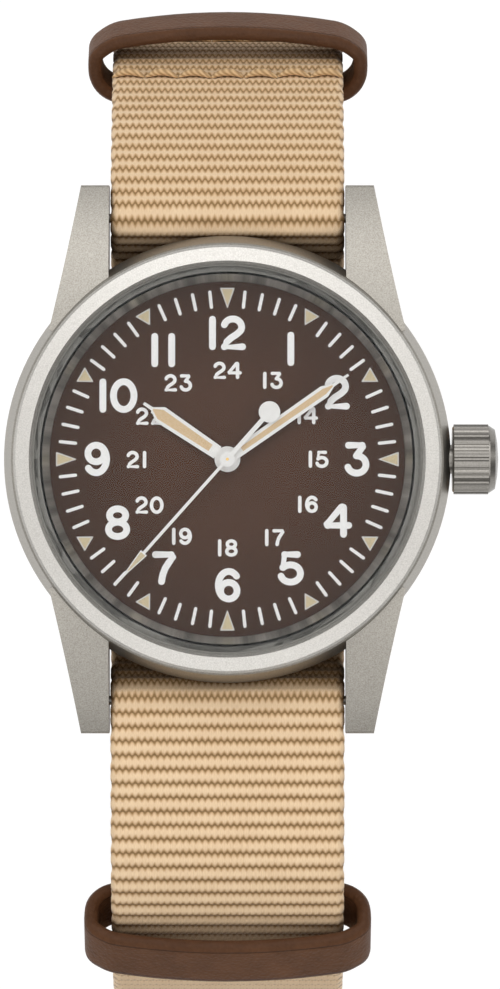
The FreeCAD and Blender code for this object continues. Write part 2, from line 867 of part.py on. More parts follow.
def setting_lever():
    """The lever on the plate whose pin sits in the stem's groove and moves with it."""
    low = dial_seat - 0.28
    high = dial_seat - 0.06
    x, y = lever_pivot_at
    nose = (lever_pin_x, y + lever_arm)
    tail = (x - 1.9, y - 0.35)
    stud = disc(lever_pin_radius, crown_height + 0.3, high, *nose)
    body = one([disc(0.65, low, high, x, y), strut((x, y), nose, 0.5, low, high),
                disc(lever_nose_radius, low, high, *nose),
                strut((x, y), tail, 0.45, low, high), disc(0.225, low, high, *tail), stud])
    return body.cut(disc(lever_post_radius + running_gap, 0, dial_seat + 1, x, y))


def train_pivots():
    return [second_at, third_at, centre_at, escape_at]


def main_plate():
    """The plate that everything is mounted on, milled out for stem, motion work and lever."""
    plate = disc(movement_radius, plate_bottom, dial_seat)
    hour_room = hour_module * hour_teeth / 2 + 0.35
    minute_room = motion_module * minute_teeth / 2 + 0.3
    cuts = [disc(hour_room, recess_floor, dial_seat + 1),
            disc(minute_room, recess_floor, dial_seat + 1, *minute_wheel_at)]
    x, y = lever_pivot_at
    swing_room = disc(lever_arm + lever_nose_radius + lever_room,
                      dial_seat - lever_recess, dial_seat + 1, x, y)
    cuts.append(swing_room.common(disc(movement_radius - lever_room, 0, dial_seat + 1)))
    room = winding_radius + 0.08
    cuts.append(block(stem_inner_end - 0.1, movement_radius + 1, -room, room, 0, crown_height + room))
    cuts.append(block(lever_pin_x - 0.45, lever_pin_x + crown_pull + 0.45, -0.9, 0.9,
                      crown_height, dial_seat + 1))
    for px, py in train_pivots() + [pallet_at, balance_at]:
        cuts.append(pin(jewel_radius, plate_bottom - 1, plate_bottom + jewel_thickness, px, py))
        cuts.append(pin(pivot_radius + 0.06, plate_bottom - 1, plate_bottom + jewel_thickness + 0.1, px, py))
    cuts.append(disc(0.45 + running_gap, 0, plate_bottom + 0.85, *barrel_at))
    for px, py in screw_places():
        cuts.append(pin(screw_radius, 0, plate_bottom + 0.9, px, py))
    for px, py in dial_feet_places():
        cuts.append(pin(dial_foot_radius, dial_seat - 1.0, dial_seat + 1, px, py, hole=True))
    bored = plate.cut(cuts)
    tube = disc(centre_tube_radius, recess_floor - 0.1, minute_hand_level - 0.1)
    post = disc(0.22, recess_floor - 0.1, hour_teeth_high, *minute_wheel_at)
    lever_post = disc(lever_post_radius, dial_seat - 0.5, dial_seat - 0.06, x, y)
    stud = one([bored, tube, post, lever_post])
    return stud.cut(disc(second_arbor_radius + running_gap, 0, 9))


def screw_places():
    return [place for group in screw_sites.values() for place in group]


def dial_feet_places():
    return [bearing(movement_radius - 1.1, 100), bearing(movement_radius - 1.1, 275)]


def bridge(discs, struts, feet, pivots):
    """A lobed bridge on pillar feet, bored for its screws and jewels."""
    parts = [disc(r, bridge_bottom, bridge_top, x, y) for x, y, r in discs]
    parts += [strut(a, b, w, bridge_bottom, bridge_top) for a, b, w in struts]
    for x, y in feet:
        parts.append(disc(1.1, bridge_bottom, plate_bottom, x, y))
    holes = []
    for x, y in feet:
        holes.append(pin(screw_radius, 0, plate_bottom + 1, x, y))
        holes.append(pin(screw_head_radius, 0, bridge_bottom + screw_head_height, x, y))
    for x, y in pivots:
        holes.append(pin(jewel_radius, bridge_top - jewel_thickness, bridge_top + 1, x, y))
        holes.append(pin(jewel_radius - 0.1, 0, bridge_top + 1, x, y))
    return one(parts).cut(holes)


def barrel_bridge():
    feet = screw_sites["barrel"]
    x, y = barrel_at
    cx, cy = crown_wheel_at
    discs = [(x, y, 3.6), (cx, cy, 1.7), (click_at[0], click_at[1], 1.0)]
    struts = [(feet[0], barrel_at, 2.2), (feet[1], barrel_at, 2.2), (barrel_at, crown_wheel_at, 3.0),
              (click_at, barrel_at, 2.0)]
    body = bridge(discs, struts, feet, [])
    boss = disc(0.7, ratchet_level + 0.02, bridge_bottom + 0.2, cx, cy)
    post = disc(screw_radius * 0.8, ratchet_level, bridge_bottom + 0.2, *click_at)
    return one([body, boss, post]).cut(disc(0.45 + running_gap, 0, 3, x, y))


def train_bridge():
    feet = screw_sites["train"]
    discs = [(*second_at, 0.95), (*third_at, 1.3), (0, 0, 1.1), (*escape_at, 0.9)]
    struts = [(feet[0], third_at, 1.9), (third_at, second_at, 1.3), (third_at, centre_at, 1.5),
              (centre_at, escape_at, 1.3), (escape_at, feet[1], 1.7)]
    return bridge(discs, struts, feet, train_pivots())


def pallet_bridge():
    feet = screw_sites["pallet"]
    return bridge([(*pallet_at, 0.75)], [(feet[0], pallet_at, 1.2)], feet, [pallet_at])


def balance_cock():
    feet = screw_sites["balance"]
    return bridge([(*balance_at, 1.0)], [(feet[0], balance_at, 1.7)], feet, [balance_at])


def jewels():
    """The ruby bearings in plate and bridges, one above and one below each pivot."""
    rubies = []
    for x, y in train_pivots() + [pallet_at, balance_at]:
        low = bridge_top - jewel_thickness
        hole = pivot_radius + 0.02
        wide = second_arbor_radius + running_gap if (x, y) == centre_at else hole
        for bore, bottom, top in ((hole, low, bridge_top),
                                  (wide, plate_bottom, plate_bottom + jewel_thickness)):
            ruby = pin(jewel_radius, bottom, top, x, y)
            rubies.append(ruby.cut(pin(bore, bottom - 1, top + 1, x, y, hole=True)))
    return Part.makeCompound(rubies)


def bridge_screws():
    screws = []
    for x, y in screw_places():
        shank = pin(screw_radius, bridge_bottom, plate_bottom + 0.8, x, y)
        head = pin(screw_head_radius, bridge_bottom, bridge_bottom + screw_head_height, x, y)
        slot = block(x - 1, x + 1, y - 0.09, y + 0.09, 0, bridge_bottom + 0.12)
        screws.append(shank.fuse(head).cut(slot))
    return Part.makeCompound(screws)


def movement_holder():
    """The plastic ring that centres the movement in the case, slotted for the stem."""
    body = ring(case_bore - holder_gap, movement_radius + holder_gap, holder_bottom, dial_seat)
    return body.cut(rod_x(stem_radius + 0.3, 0, case_radius, 0, crown_height))


# Dial and hands

def dial():
    plate = disc(dial_radius, dial_seat, dial_top)
    feet = [pin(dial_foot_radius, dial_seat - 0.9, dial_seat + 0.1, x, y) for x, y in dial_feet_places()]
    return one([plate] + feet).cut(disc(hour_pipe_radius + 0.2, 0, 9))


def pointed_blade(root_width, width, root, shoulder, needle_from, needle_width, reach, low):
    """A hand's blade along +Y: it widens to its shoulder, narrows to a needle, and ends square."""
    right = [(root_width / 2, root), (width / 2, shoulder), (needle_width / 2, needle_from),
             (needle_width / 2 * 0.8, reach)]
    left = [(-x, y) for x, y in right[::-1]]
    return slab(right + left, low, low + hand_thickness)


def blade_window(root_width, width, root, shoulder, tip, low):
    """The opening in a blade, one frame's width inside its outline."""
    right = [(root_width / 2 - hand_frame, root + hand_frame), (width / 2 - hand_frame, shoulder),
             (0.06, tip)]
    left = [(-x, y) for x, y in right[::-1]]
    return slab(right + left, low, low + hand_thickness)


def hour_blade_sizes():
    root = hour_hub_radius - 0.1
    return root, hour_hand_reach * 0.80, hour_hand_reach * 0.90


def hour_hand():
    root, shoulder, needle = hour_blade_sizes()
    low = hour_hand_level
    blade = pointed_blade(hour_hand_root_width, hour_hand_width, root, shoulder, needle, 0.32,
                          hour_hand_reach, low)
    body = one([blade, disc(hour_hub_radius, low, low + hand_thickness)])
    body = body.cut([hour_window(), disc(hour_pipe_radius, 0, 9)])
    return spin(body, -hour_angle)


def hour_window():
    root, shoulder, needle = hour_blade_sizes()
    return blade_window(hour_hand_root_width, hour_hand_width, root + 0.45, shoulder, needle - 0.1,
                        hour_hand_level)


def hour_hand_lume():
    return spin(hour_window(), -hour_angle)


def minute_hand():
    low = minute_hand_level
    root = minute_hub_radius - 0.1
    shoulder = minute_needle_from - 0.9
    blade = pointed_blade(minute_hand_width * 0.9, minute_hand_width, root, shoulder,
                          minute_needle_from, 0.28, minute_hand_reach, low)
    body = one([blade, disc(minute_hub_radius, low, low + hand_thickness)])
    body = body.cut([minute_window(), disc(cannon_pipe_radius, 0, 9)])
    return spin(body, -minute_angle)


def minute_window():
    shoulder = minute_needle_from - 0.9
    return blade_window(minute_hand_width * 0.9, minute_hand_width, minute_hub_radius + 0.35, shoulder,
                        minute_needle_from - 0.05, minute_hand_level)


def minute_hand_lume():
    return spin(minute_window(), -minute_angle)


def seconds_hand():
    low = second_hand_level
    high = low + hand_thickness
    half = second_hand_width / 2
    stem_half = counterweight_stem_width / 2
    lance_half = second_lance_width / 2
    outline = [(half, 0), (half, second_lance_from), (lance_half, second_lance_from),
               (half * 0.8, second_lance_to), (half * 0.6, second_hand_reach)]
    needle = slab(outline + [(-x, y) for x, y in outline[::-1]], low, high)
    stem = block(-stem_half, stem_half, -counterweight_reach, 0, low, high)
    weight = disc(counterweight_radius, low, high, 0, -counterweight_reach)
    hub = disc(second_hub_radius, low, high + 0.05)
    pipe = disc(second_arbor_radius + 0.12, low - 0.25, low)
    body = one([needle, stem, weight, hub, pipe]).cut([disc(second_arbor_radius, 0, 9), lance_window()])
    return spin(body, -second_angle)


def lance_window():
    half = second_lance_width / 2 - 0.1
    low = second_hand_level
    corners = [(half, second_lance_from + 0.12), (0.05, second_lance_to - 0.15),
               (-0.05, second_lance_to - 0.15), (-half, second_lance_from + 0.12)]
    return slab(corners, low, low + hand_thickness)


def seconds_hand_lume():
    return spin(lance_window(), -second_angle)


# The strap's line: straight runs and turns in the upright plane through six and twelve o'clock.
# A place is (y, z, heading in degrees). The outer side of the strap is on its left.

def onward(place, move):
    y, z, heading = place
    angle = math.radians(heading)
    if move[0] == "run":
        return y + move[1] * math.cos(angle), z + move[1] * math.sin(angle), heading
    radius = move[1] * (1 if move[2] > 0 else -1)
    new = math.radians(heading + move[2])
    return (y + radius * (math.sin(new) - math.sin(angle)),
            z - radius * (math.cos(new) - math.cos(angle)), heading + move[2])


def move_length(move):
    return move[1] if move[0] == "run" else move[1] * math.radians(abs(move[2]))


def place_at(place, moves, distance):
    """The place at a distance along the line."""
    for move in moves:
        length = move_length(move)
        if distance <= length:
            share = distance / length
            part = ("run", distance) if move[0] == "run" else ("turn", move[1], move[2] * share)
            return onward(place, part)
        distance -= length
        place = onward(place, move)
    return place


def beside(place, left):
    """The same place, moved across the line to its left."""
    angle = math.radians(place[2])
    return place[0] - left * math.sin(angle), place[1] + left * math.cos(angle), place[2]


def line_edges(place, moves, left):
    """The edges of one face of the webbing, at a distance to the left of its middle line."""
    edges = []
    for move in moves:
        end = onward(place, move)
        a = beside(place, left)
        b = beside(end, left)
        start = V(0, a[0], a[1])
        finish = V(0, b[0], b[1])
        if move[0] == "run":
            edges.append(Part.makeLine(start, finish))
        else:
            middle = beside(onward(place, ("turn", move[1], move[2] / 2)), left)
            edges.append(Part.Arc(start, V(0, middle[0], middle[1]), finish).toShape())
        place = end
    return edges


def webbing(place, moves, width, thickness):
    """A strip of webbing along a line."""
    outer = line_edges(place, moves, thickness / 2)
    inner = line_edges(place, moves, -thickness / 2)
    start = Part.makeLine(inner[0].Vertexes[0].Point, outer[0].Vertexes[0].Point)
    end = Part.makeLine(outer[-1].Vertexes[-1].Point, inner[-1].Vertexes[-1].Point)
    wire = Part.Wire(Part.__sortEdges__([start] + outer + [end] + inner))
    strip = Part.Face(wire).extrude(V(width, 0, 0))
    strip.translate(V(-width / 2, 0, 0))
    return strip


def put(shape, place):
    """Moves a piece drawn flat (X across, Y along, Z outward) to a place on the strap."""
    shape.rotate(V(0, 0, 0), V(1, 0, 0), place[2])
    shape.translate(V(0, place[0], place[1]))
    return shape


def mirrored(shape):
    return shape.mirror(V(0, 0, 0), V(0, 1, 0))


half_web = strap_thickness / 2
web_step = strap_thickness + lay_gap
strap_level = -strap_gap - half_web
under_level = strap_level - strap_thickness - strap_gap
bar_line_radius = bar_radius + bar_clearance + half_web
middle_place = (0.0, strap_level, 0.0)


def climb(slope):
    """From under the case back, up between bar and case, and over the bar to a slope."""
    angle = math.radians(strap_climb)
    touch_y = bar_reach - bar_line_radius * math.sin(angle)
    touch_z = bar_height + bar_line_radius * math.cos(angle)
    rise = touch_z - strap_level - climb_radius * (1 - math.cos(angle))
    incline = rise / math.sin(angle)
    flat = touch_y - incline * math.cos(angle) - climb_radius * math.sin(angle)
    return [("run", flat), ("turn", climb_radius, strap_climb), ("run", incline),
            ("turn", bar_line_radius, -strap_climb - slope)]


# Six o'clock side: drawn toward +Y, and mirrored when it is made
lower_moves = climb(lower_start_slope) + [
    ("turn", lower_gentle_radius, lower_start_slope - lower_gentle_slope),
    ("turn", lower_ring_radius, lower_gentle_slope - lower_ring_slope),
    ("turn", lower_side_radius, lower_ring_slope - 90.0),
    ("turn", lower_table_radius, -90.0),
    ("run", tail_length),
]
tail_end = place_at(middle_place, lower_moves, 1e6)
head_lift = half_web - tail_end[1]
ring_distance = sum(move_length(m) for m in lower_moves[:6])
ring_place = place_at(middle_place, lower_moves, ring_distance)

# Twelve o'clock side, down to the lowest point of its curl and up to the buckle
fold_radius = buckle_bar_radius + bar_clearance + half_web
fold_bulge = math.degrees(math.acos((web_step / 2 + fold_ease) / (fold_radius + fold_ease)))
upper_first = climb(upper_start_slope) + [
    ("turn", upper_radius, upper_start_slope - upper_keeper_slope),
    ("turn", upper_side_radius, upper_keeper_slope - 90.0),
]
side_place = place_at(middle_place, upper_first, 1e6)
curl_low = strap_thickness + curl_gap + half_web - head_lift
upper_moves = upper_first + [
    ("turn", side_place[1] - curl_low, -90.0),
    ("turn", curl_radius, -curl_turn),
]
fold_start = place_at(middle_place, upper_moves, 1e6)
fold_moves = [
    ("turn", fold_ease, fold_bulge),
    ("turn", fold_radius, -180.0 - 2 * fold_bulge),
    ("turn", fold_ease, fold_bulge),
    ("turn", curl_radius - web_step, math.degrees(buckle_fold / (curl_radius - web_step))),
]
bar_along = (fold_radius + fold_ease) * math.sin(math.radians(fold_bulge))
buckle_place = onward(beside(fold_start, -web_step / 2), ("run", bar_along))
seam_distance = (sum(move_length(m) for m in upper_moves[:4])
                 + upper_radius * math.radians(upper_seam_slope - upper_start_slope))
keeper_half = seam_offset + keeper_band / 2
upper_length = sum(move_length(m) for m in upper_moves)
buckle_keeper_distance = upper_length - buckle_fold / 2 - 0.4


def main_strap():
    """One long strip: tail, under the case, and back round the buckle bar."""
    upper = webbing(middle_place, upper_moves + fold_moves, strap_width, strap_thickness)
    lower = mirrored(webbing(middle_place, lower_moves, strap_width, strap_thickness))
    cuts = [tail_corners(), tongue_slot()] + tail_hole_cuts()
    return one([upper, lower]).cut(cuts)


def tail_corners():
    """What is trimmed away to give the tail its rounded end."""
    tip_y = -tail_end[0]
    z_low = tail_end[1] - 1
    z_high = tail_end[1] + 1
    half = strap_width / 2
    square = block(-half - 1, half + 1, tip_y - tail_round, tip_y + 1, z_low, z_high)
    keep = block(-half + tail_round, half - tail_round, tip_y - tail_round - 1, tip_y, z_low - 1, z_high + 1)
    for side in (-1, 1):
        x = side * (half - tail_round)
        keep = keep.fuse(disc(tail_round, z_low - 1, z_high + 1, x, tip_y - tail_round))
    return square.cut(keep)


def tail_hole_cuts():
    tip_y = -tail_end[0]
    holes = []
    for index in range(tail_holes):
        y = tip_y - tail_hole_first - index * tail_hole_pitch
        holes.append(disc(tail_hole_radius, tail_end[1] - 1, tail_end[1] + 1, 0, y))
    return holes


def tongue_slot():
    """The slit in the fold that lets the tongue swing on its bar."""
    half = tongue_width / 2 + 0.3
    reach = fold_radius + half_web + 0.5
    slot = block(-half, half, -reach, reach, -reach - 1, reach + 1)
    return put(slot, buckle_place)


def under_strap():
    """The short strip: sewn on at the top keeper, and folded round the leg of the sliding ring."""
    seam = beside(place_at(middle_place, upper_moves, seam_distance), -web_step)
    slope = upper_seam_slope
    drop = under_level - seam[1]
    radius = drop / (1 - math.cos(math.radians(slope)))
    flat = seam[0] - radius * math.sin(math.radians(slope))
    rest = 2 * keeper_half + seam_end - upper_radius * math.radians(upper_keeper_slope - slope)
    side_radius = upper_side_radius - web_step
    upper = webbing((0.0, under_level, 0.0), [
        ("run", flat),
        ("turn", radius, -slope),
        ("turn", upper_radius - web_step, slope - upper_keeper_slope),
        ("turn", side_radius, -math.degrees(rest / side_radius)),
    ], strap_width, strap_thickness)
    foot = onward(beside(ring_place, ring_leg_offset - ring_fold_radius), ("run", -0.8))
    slope = lower_ring_slope
    drop = under_level - foot[1]
    radius = drop / (1 - math.cos(math.radians(slope)))
    flat = foot[0] - radius * math.sin(math.radians(slope))
    far = keeper_band / 2 - 0.25
    back_radius_here = lower_ring_radius - half_web * 2 - strap_gap
    lower = webbing((0.0, under_level, 0.0), [
        ("run", flat),
        ("turn", radius, -slope),
        ("run", 0.8 + far),
        ("turn", ring_fold_radius, 180.0),
        ("run", far),
        ("turn", back_radius_here, math.degrees((ring_fold - far) / back_radius_here)),
    ], strap_width, strap_thickness)
    return one([upper, mirrored(lower)])


ring_fold_radius = keeper_leather / 2 + fold_gap + half_web
ring_leg_offset = -(strap_thickness + strap_gap) - ring_fold_radius


def keeper(low, high):
    """A band of leather closed round the strap, with rounded corners, drawn flat."""
    half = strap_width / 2 + keeper_side_gap
    outer = block(-half - keeper_leather, half + keeper_leather, -keeper_band / 2, keeper_band / 2,
                  low - keeper_leather, high + keeper_leather)
    inner = block(-half, half, -keeper_band, keeper_band, low, high)
    corners = [e for e in outer.Edges if abs(e.BoundBox.YLength - keeper_band) < 0.01]
    rounded = outer.makeFillet(keeper_corner, corners)
    inner_corners = [e for e in inner.Edges if abs(e.BoundBox.YLength - 2 * keeper_band) < 0.01]
    return rounded.cut(inner.makeFillet(keeper_inner_corner, inner_corners))


def top_keeper():
    low = -half_web - web_step - 0.2
    place = place_at(middle_place, upper_moves, seam_distance + keeper_half)
    return put(keeper(low, half_web + keeper_room), place)


def buckle_keeper():
    low = -half_web - web_step - 0.2
    place = place_at(middle_place, upper_moves, buckle_keeper_distance)
    return put(keeper(low, half_web + keeper_room), place)


def ring_keeper():
    """The third loop, which holds the short strip's end and slides along the long one."""
    low = ring_leg_offset + keeper_leather / 2
    return mirrored(put(keeper(low, half_web + keeper_room), ring_place))


def stitch_row(place):
    """Seven long stitches of heavy thread across the strap, arched over its outer face."""
    row = []
    for index in range(stitches_per_seam):
        x = (index - (stitches_per_seam - 1) / 2) * stitch_pitch
        half = stitch_length / 2
        top = half_web + stitch_radius
        arch = [V(x - half, 0, half_web), V(x + half, 0, half_web),
                V(x + half / 2, 0, top), V(x - half / 2, 0, top)]
        stitch = Part.Face(Part.makePolygon(arch + arch[:1])).extrude(V(0, 2 * stitch_radius, 0))
        stitch.translate(V(0, -stitch_radius, 0))
        row.append(stitch)
    return [put(stitch, place) for stitch in row]


def seam_stitches():
    distances = [seam_distance, seam_distance + 2 * keeper_half,
                 buckle_keeper_distance - keeper_half + 0.4, buckle_keeper_distance + keeper_half - 0.4]
    stitches = []
    for distance in distances:
        stitches += stitch_row(place_at(middle_place, upper_moves, distance))
    return Part.makeCompound(stitches)


# Spring bars: a tube across each pair of lugs, and a sprung tip at each end

bar_tube_half = lug_gap / 2 - bar_tip_depth - 0.05
bar_bore = bar_radius - bar_wall


def spring_bar_tubes():
    tubes = []
    for side in (-1, 1):
        y = side * bar_reach
        tube = rod_x(bar_radius, -bar_tube_half, bar_tube_half, y, bar_height)
        bore = rod_x(bar_bore, -bar_tube_half + 0.5, bar_tube_half - 0.5, y, bar_height)
        mouth = rod_x(bar_tip_radius + running_gap, -bar_tube_half - 1, bar_tube_half + 1, y, bar_height)
        tubes.append(tube.cut([bore, mouth]))
    return Part.makeCompound(tubes)


def bar_tip(x_side, y_side):
    end = lug_gap / 2 + bar_tip_depth
    piston = bar_tube_half - 0.5 - running_gap
    y = y_side * bar_reach
    tip = one([rod_x(bar_tip_radius, piston - 0.5, end, y, bar_height),
               rod_x(bar_bore - running_gap, piston - bar_piston_length, piston, y, bar_height)])
    if x_side < 0:
        tip = tip.mirror(V(0, 0, 0), V(1, 0, 0))
    return tip


# Buckle, drawn flat round its bar and moved to the strap's end

def buckle_frame():
    """A round-wire bow bent in one piece, with an ear at each end for the bar."""
    x = buckle_inner_width / 2 + buckle_wire
    front = buckle_inner_length + buckle_wire
    bend = front - buckle_corner
    cut_off = buckle_corner * (1 - math.sqrt(0.5))
    line = Part.Wire([
        Part.makeLine(V(-x, 0, 0), V(-x, bend, 0)),
        Part.Arc(V(-x, bend, 0), V(cut_off - x, front - cut_off, 0),
                 V(buckle_corner - x, front, 0)).toShape(),
        Part.makeLine(V(buckle_corner - x, front, 0), V(x - buckle_corner, front, 0)),
        Part.Arc(V(x - buckle_corner, front, 0), V(x - cut_off, front - cut_off, 0), V(x, bend, 0)).toShape(),
        Part.makeLine(V(x, bend, 0), V(x, 0, 0)),
    ])
    section = Part.Face(Part.Wire(Part.makeCircle(buckle_wire, V(-x, 0, 0), V(0, 1, 0))))
    bow = line.makePipe(section)
    ears = [rod_x(buckle_wire + 0.25, side * x - buckle_wire, side * x + buckle_wire, 0, 0)
            for side in (-1, 1)]
    hole = rod_x(buckle_bar_radius, -x - 2, x + 2, 0, 0)
    return put(bow.fuse(ears).cut(hole), buckle_place)


def buckle_bar():
    x = buckle_inner_width / 2 + 2 * buckle_wire
    return put(rod_x(buckle_bar_radius, -x, x, 0, 0), buckle_place)


def buckle_tongue():
    """A flat prong with a rolled eye, resting on the front of the bow."""
    front = buckle_inner_length + buckle_wire
    low = buckle_wire + 0.03
    high = low + tongue_thickness * 0.8
    half = tongue_width / 2
    points = [(0.0, tongue_eye_radius - 0.5), (2.2, low), (front + 0.9, low), (front + 1.3, low + 0.35),
              (front + 0.8, high), (2.2, high), (0.0, tongue_eye_radius)]
    corners = [V(-half, y, z) for y, z in points]
    blade = Part.Face(Part.makePolygon(corners + corners[:1])).extrude(V(tongue_width, 0, 0))
    eye = rod_x(tongue_eye_radius, -half, half, 0, 0)
    bore = rod_x(buckle_bar_radius + buckle_running_gap, -half - 1, half + 1, 0, 0)
    return put(one([blade, eye]).cut(bore), buckle_place)


def pieces():
    """Every node's name and its solid, in the head's own frame."""
    made = {
        "case_middle": case_middle(), "bezel": bezel(), "crystal": crystal(),
        "crystal_gasket": crystal_gasket(), "flange_ring": flange_ring(), "case_back": case_back(),
        "case_back_gasket": case_back_gasket(), "crown_tube": crown_tube(), "crown": crown(),
        "crown_gasket": crown_gasket(), "winding_stem": winding_stem(),
        "movement_holder": movement_holder(), "dial": dial(),
        "hour_hand": hour_hand(), "hour_hand_lume": hour_hand_lume(),
        "minute_hand": minute_hand(), "minute_hand_lume": minute_hand_lume(),
        "seconds_hand": seconds_hand(), "seconds_hand_lume": seconds_hand_lume(),
        "main_plate": main_plate(), "barrel_bridge": barrel_bridge(), "train_bridge": train_bridge(),
        "pallet_bridge": pallet_bridge(), "balance_cock": balance_cock(),
        "barrel_drum": barrel_drum(), "mainspring": mainspring(), "barrel_arbor": barrel_arbor(),
        "ratchet_wheel": ratchet_wheel(), "crown_wheel": crown_wheel(), "click": click(),
        "second_wheel": second_wheel(), "third_wheel": third_wheel(), "fourth_wheel": fourth_wheel(),
        "escape_wheel": escape_wheel(), "pallet_fork": pallet_fork(), "balance_wheel": balance_wheel(),
        "hairspring": hairspring(), "jewels": jewels(), "bridge_screws": bridge_screws(),
        "cannon_pinion": cannon_pinion(), "minute_wheel": minute_wheel(), "hour_wheel": hour_wheel(),
        "winding_pinion": winding_pinion(), "sliding_pinion": sliding_pinion(),
        "setting_lever": setting_lever(),
        "spring_bar_tubes": spring_bar_tubes(),
        "main_strap": main_strap(), "under_strap": under_strap(), "top_keeper": top_keeper(),
        "buckle_keeper": buckle_keeper(), "ring_keeper": ring_keeper(), "seam_stitches": seam_stitches(),
        "buckle_frame": buckle_frame(), "buckle_bar": buckle_bar(), "buckle_tongue": buckle_tongue(),
    }
    for y_side, hour in ((1, "12"), (-1, "6")):
        for x_side, hand in ((1, "right"), (-1, "left")):
            made[f"bar_tip_{hour}_{hand}"] = bar_tip(x_side, y_side)
    return made


os.makedirs("parts", exist_ok=True)
for name, shape in pieces().items():
    shape.translate(V(0, 0, head_lift))
    shape.exportStep(f"parts/{name}.step")
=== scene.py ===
import math
import random

import bpy
from mathutils import Matrix, Vector


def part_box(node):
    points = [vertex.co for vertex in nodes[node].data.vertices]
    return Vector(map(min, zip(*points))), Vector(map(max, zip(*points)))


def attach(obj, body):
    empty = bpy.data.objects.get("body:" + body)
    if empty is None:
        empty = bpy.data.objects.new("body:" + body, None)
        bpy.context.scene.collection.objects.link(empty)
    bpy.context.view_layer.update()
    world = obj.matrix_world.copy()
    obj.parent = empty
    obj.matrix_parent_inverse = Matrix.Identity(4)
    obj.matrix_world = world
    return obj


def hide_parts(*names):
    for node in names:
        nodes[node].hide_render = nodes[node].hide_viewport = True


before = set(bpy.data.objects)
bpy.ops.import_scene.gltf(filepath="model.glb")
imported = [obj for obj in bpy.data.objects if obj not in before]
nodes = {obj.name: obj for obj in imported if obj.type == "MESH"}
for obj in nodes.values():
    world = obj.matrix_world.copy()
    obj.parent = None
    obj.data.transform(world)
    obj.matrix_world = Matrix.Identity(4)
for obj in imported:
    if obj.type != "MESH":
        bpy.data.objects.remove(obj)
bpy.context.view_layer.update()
mm = 0.001


# Studio. The watch lies dial up on a white table and is photographed from straight above with a
# long lens, so that nothing of it leans. The photograph is 500 by 989 points, 11.7 to a millimetre.

view_settings = bpy.context.scene.view_settings
view_settings.view_transform = "Standard"
points_per_mm = 11.7
photo_width = 500
photo_middle = (250, 494.5)
case_centre_seen = (227.4, 459.2)
picture_width = photo_width / points_per_mm * mm
camera_distance = 0.7
film_width = 36.0
dial_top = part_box("dial")[1][2]
sight = Vector(((photo_middle[0] - case_centre_seen[0]) / points_per_mm * mm,
                (case_centre_seen[1] - photo_middle[1]) / points_per_mm * mm, dial_top))

bpy.ops.object.select_all(action="DESELECT")
bpy.ops.object.camera_add(location=sight + Vector((0, 0, camera_distance)), rotation=(0, 0, 0))
camera = bpy.context.object
camera.name = "studio_camera"
camera.data.sensor_fit = "HORIZONTAL"
camera.data.sensor_width = film_width
camera.data.lens = film_width * camera_distance / picture_width
camera.data.clip_start = 0.05
camera.data.clip_end = 5.0
bpy.context.scene.camera = camera


def linear(code):
    """An sRGB hex colour as the linear RGBA that the shaders take."""
    parts = [int(code[i:i + 2], 16) / 255 for i in (1, 3, 5)]
    return [c / 12.92 if c <= 0.04045 else ((c + 0.055) / 1.055) ** 2.4 for c in parts] + [1.0]


def add(tree, kind, settings=None, inputs=None):
    """Adds a node with its settings, and fills or links its inputs."""
    node = tree.nodes.new(kind)
    for name, value in (settings or {}).items():
        setattr(node, name, value)
    for name, value in (inputs or {}).items():
        if isinstance(value, bpy.types.NodeSocket):
            tree.links.new(value, node.inputs[name])
        else:
            node.inputs[name].default_value = value
    return node


def finish(name, **values):
    """A new material with one Principled shader, its plain values set on the shader itself."""
    material = bpy.data.materials.new(name)
    material.use_nodes = True
    tree = material.node_tree
    shader = tree.nodes["Principled BSDF"]
    for socket, value in values.items():
        shader.inputs[socket.replace("_", " ")].default_value = value
    return material, tree, shader


watch_middle = (0.0, 0.0, 0.045)


def lamp(name, place, size, power):
    """A white soft box that faces the watch."""
    bpy.ops.object.light_add(type="AREA", location=place)
    light = bpy.context.object
    light.name = name
    light.data.shape = "RECTANGLE"
    light.data.size = size[0]
    light.data.size_y = size[1]
    light.data.energy = power
    light.rotation_euler = (Vector(watch_middle) - Vector(place)).to_track_quat("-Z", "Y").to_euler()


lamp("soft_box_overhead", (0.0, 0.10, 0.95), (0.7, 1.3), 3.9)
lamp("soft_box_top", (-0.10, 0.42, 0.45), (0.5, 0.3), 0.8)
lamp("soft_box_left", (-0.55, 0.05, 0.38), (0.25, 0.5), 0.6)
lamp("soft_box_right", (0.5, 0.12, 0.44), (0.3, 0.5), 0.7)
lamp("soft_box_front", (0.0, -0.5, 0.5), (0.5, 0.25), 0.55)

world = bpy.context.scene.world or bpy.data.worlds.new("studio_room")
bpy.context.scene.world = world
world.use_nodes = True
room = world.node_tree
room.nodes.clear()
room_light = add(room, "ShaderNodeBackground", inputs={"Color": linear("#f4f3f1"), "Strength": 0.28})
add(room, "ShaderNodeOutputWorld", inputs={"Surface": room_light.outputs[0]})

bpy.ops.object.select_all(action="DESELECT")
table_drop = 0.05 * mm
bpy.ops.mesh.primitive_plane_add(size=3.0, location=(0, 0, -table_drop))
table_top = bpy.context.object
table_top.name = "table_top"

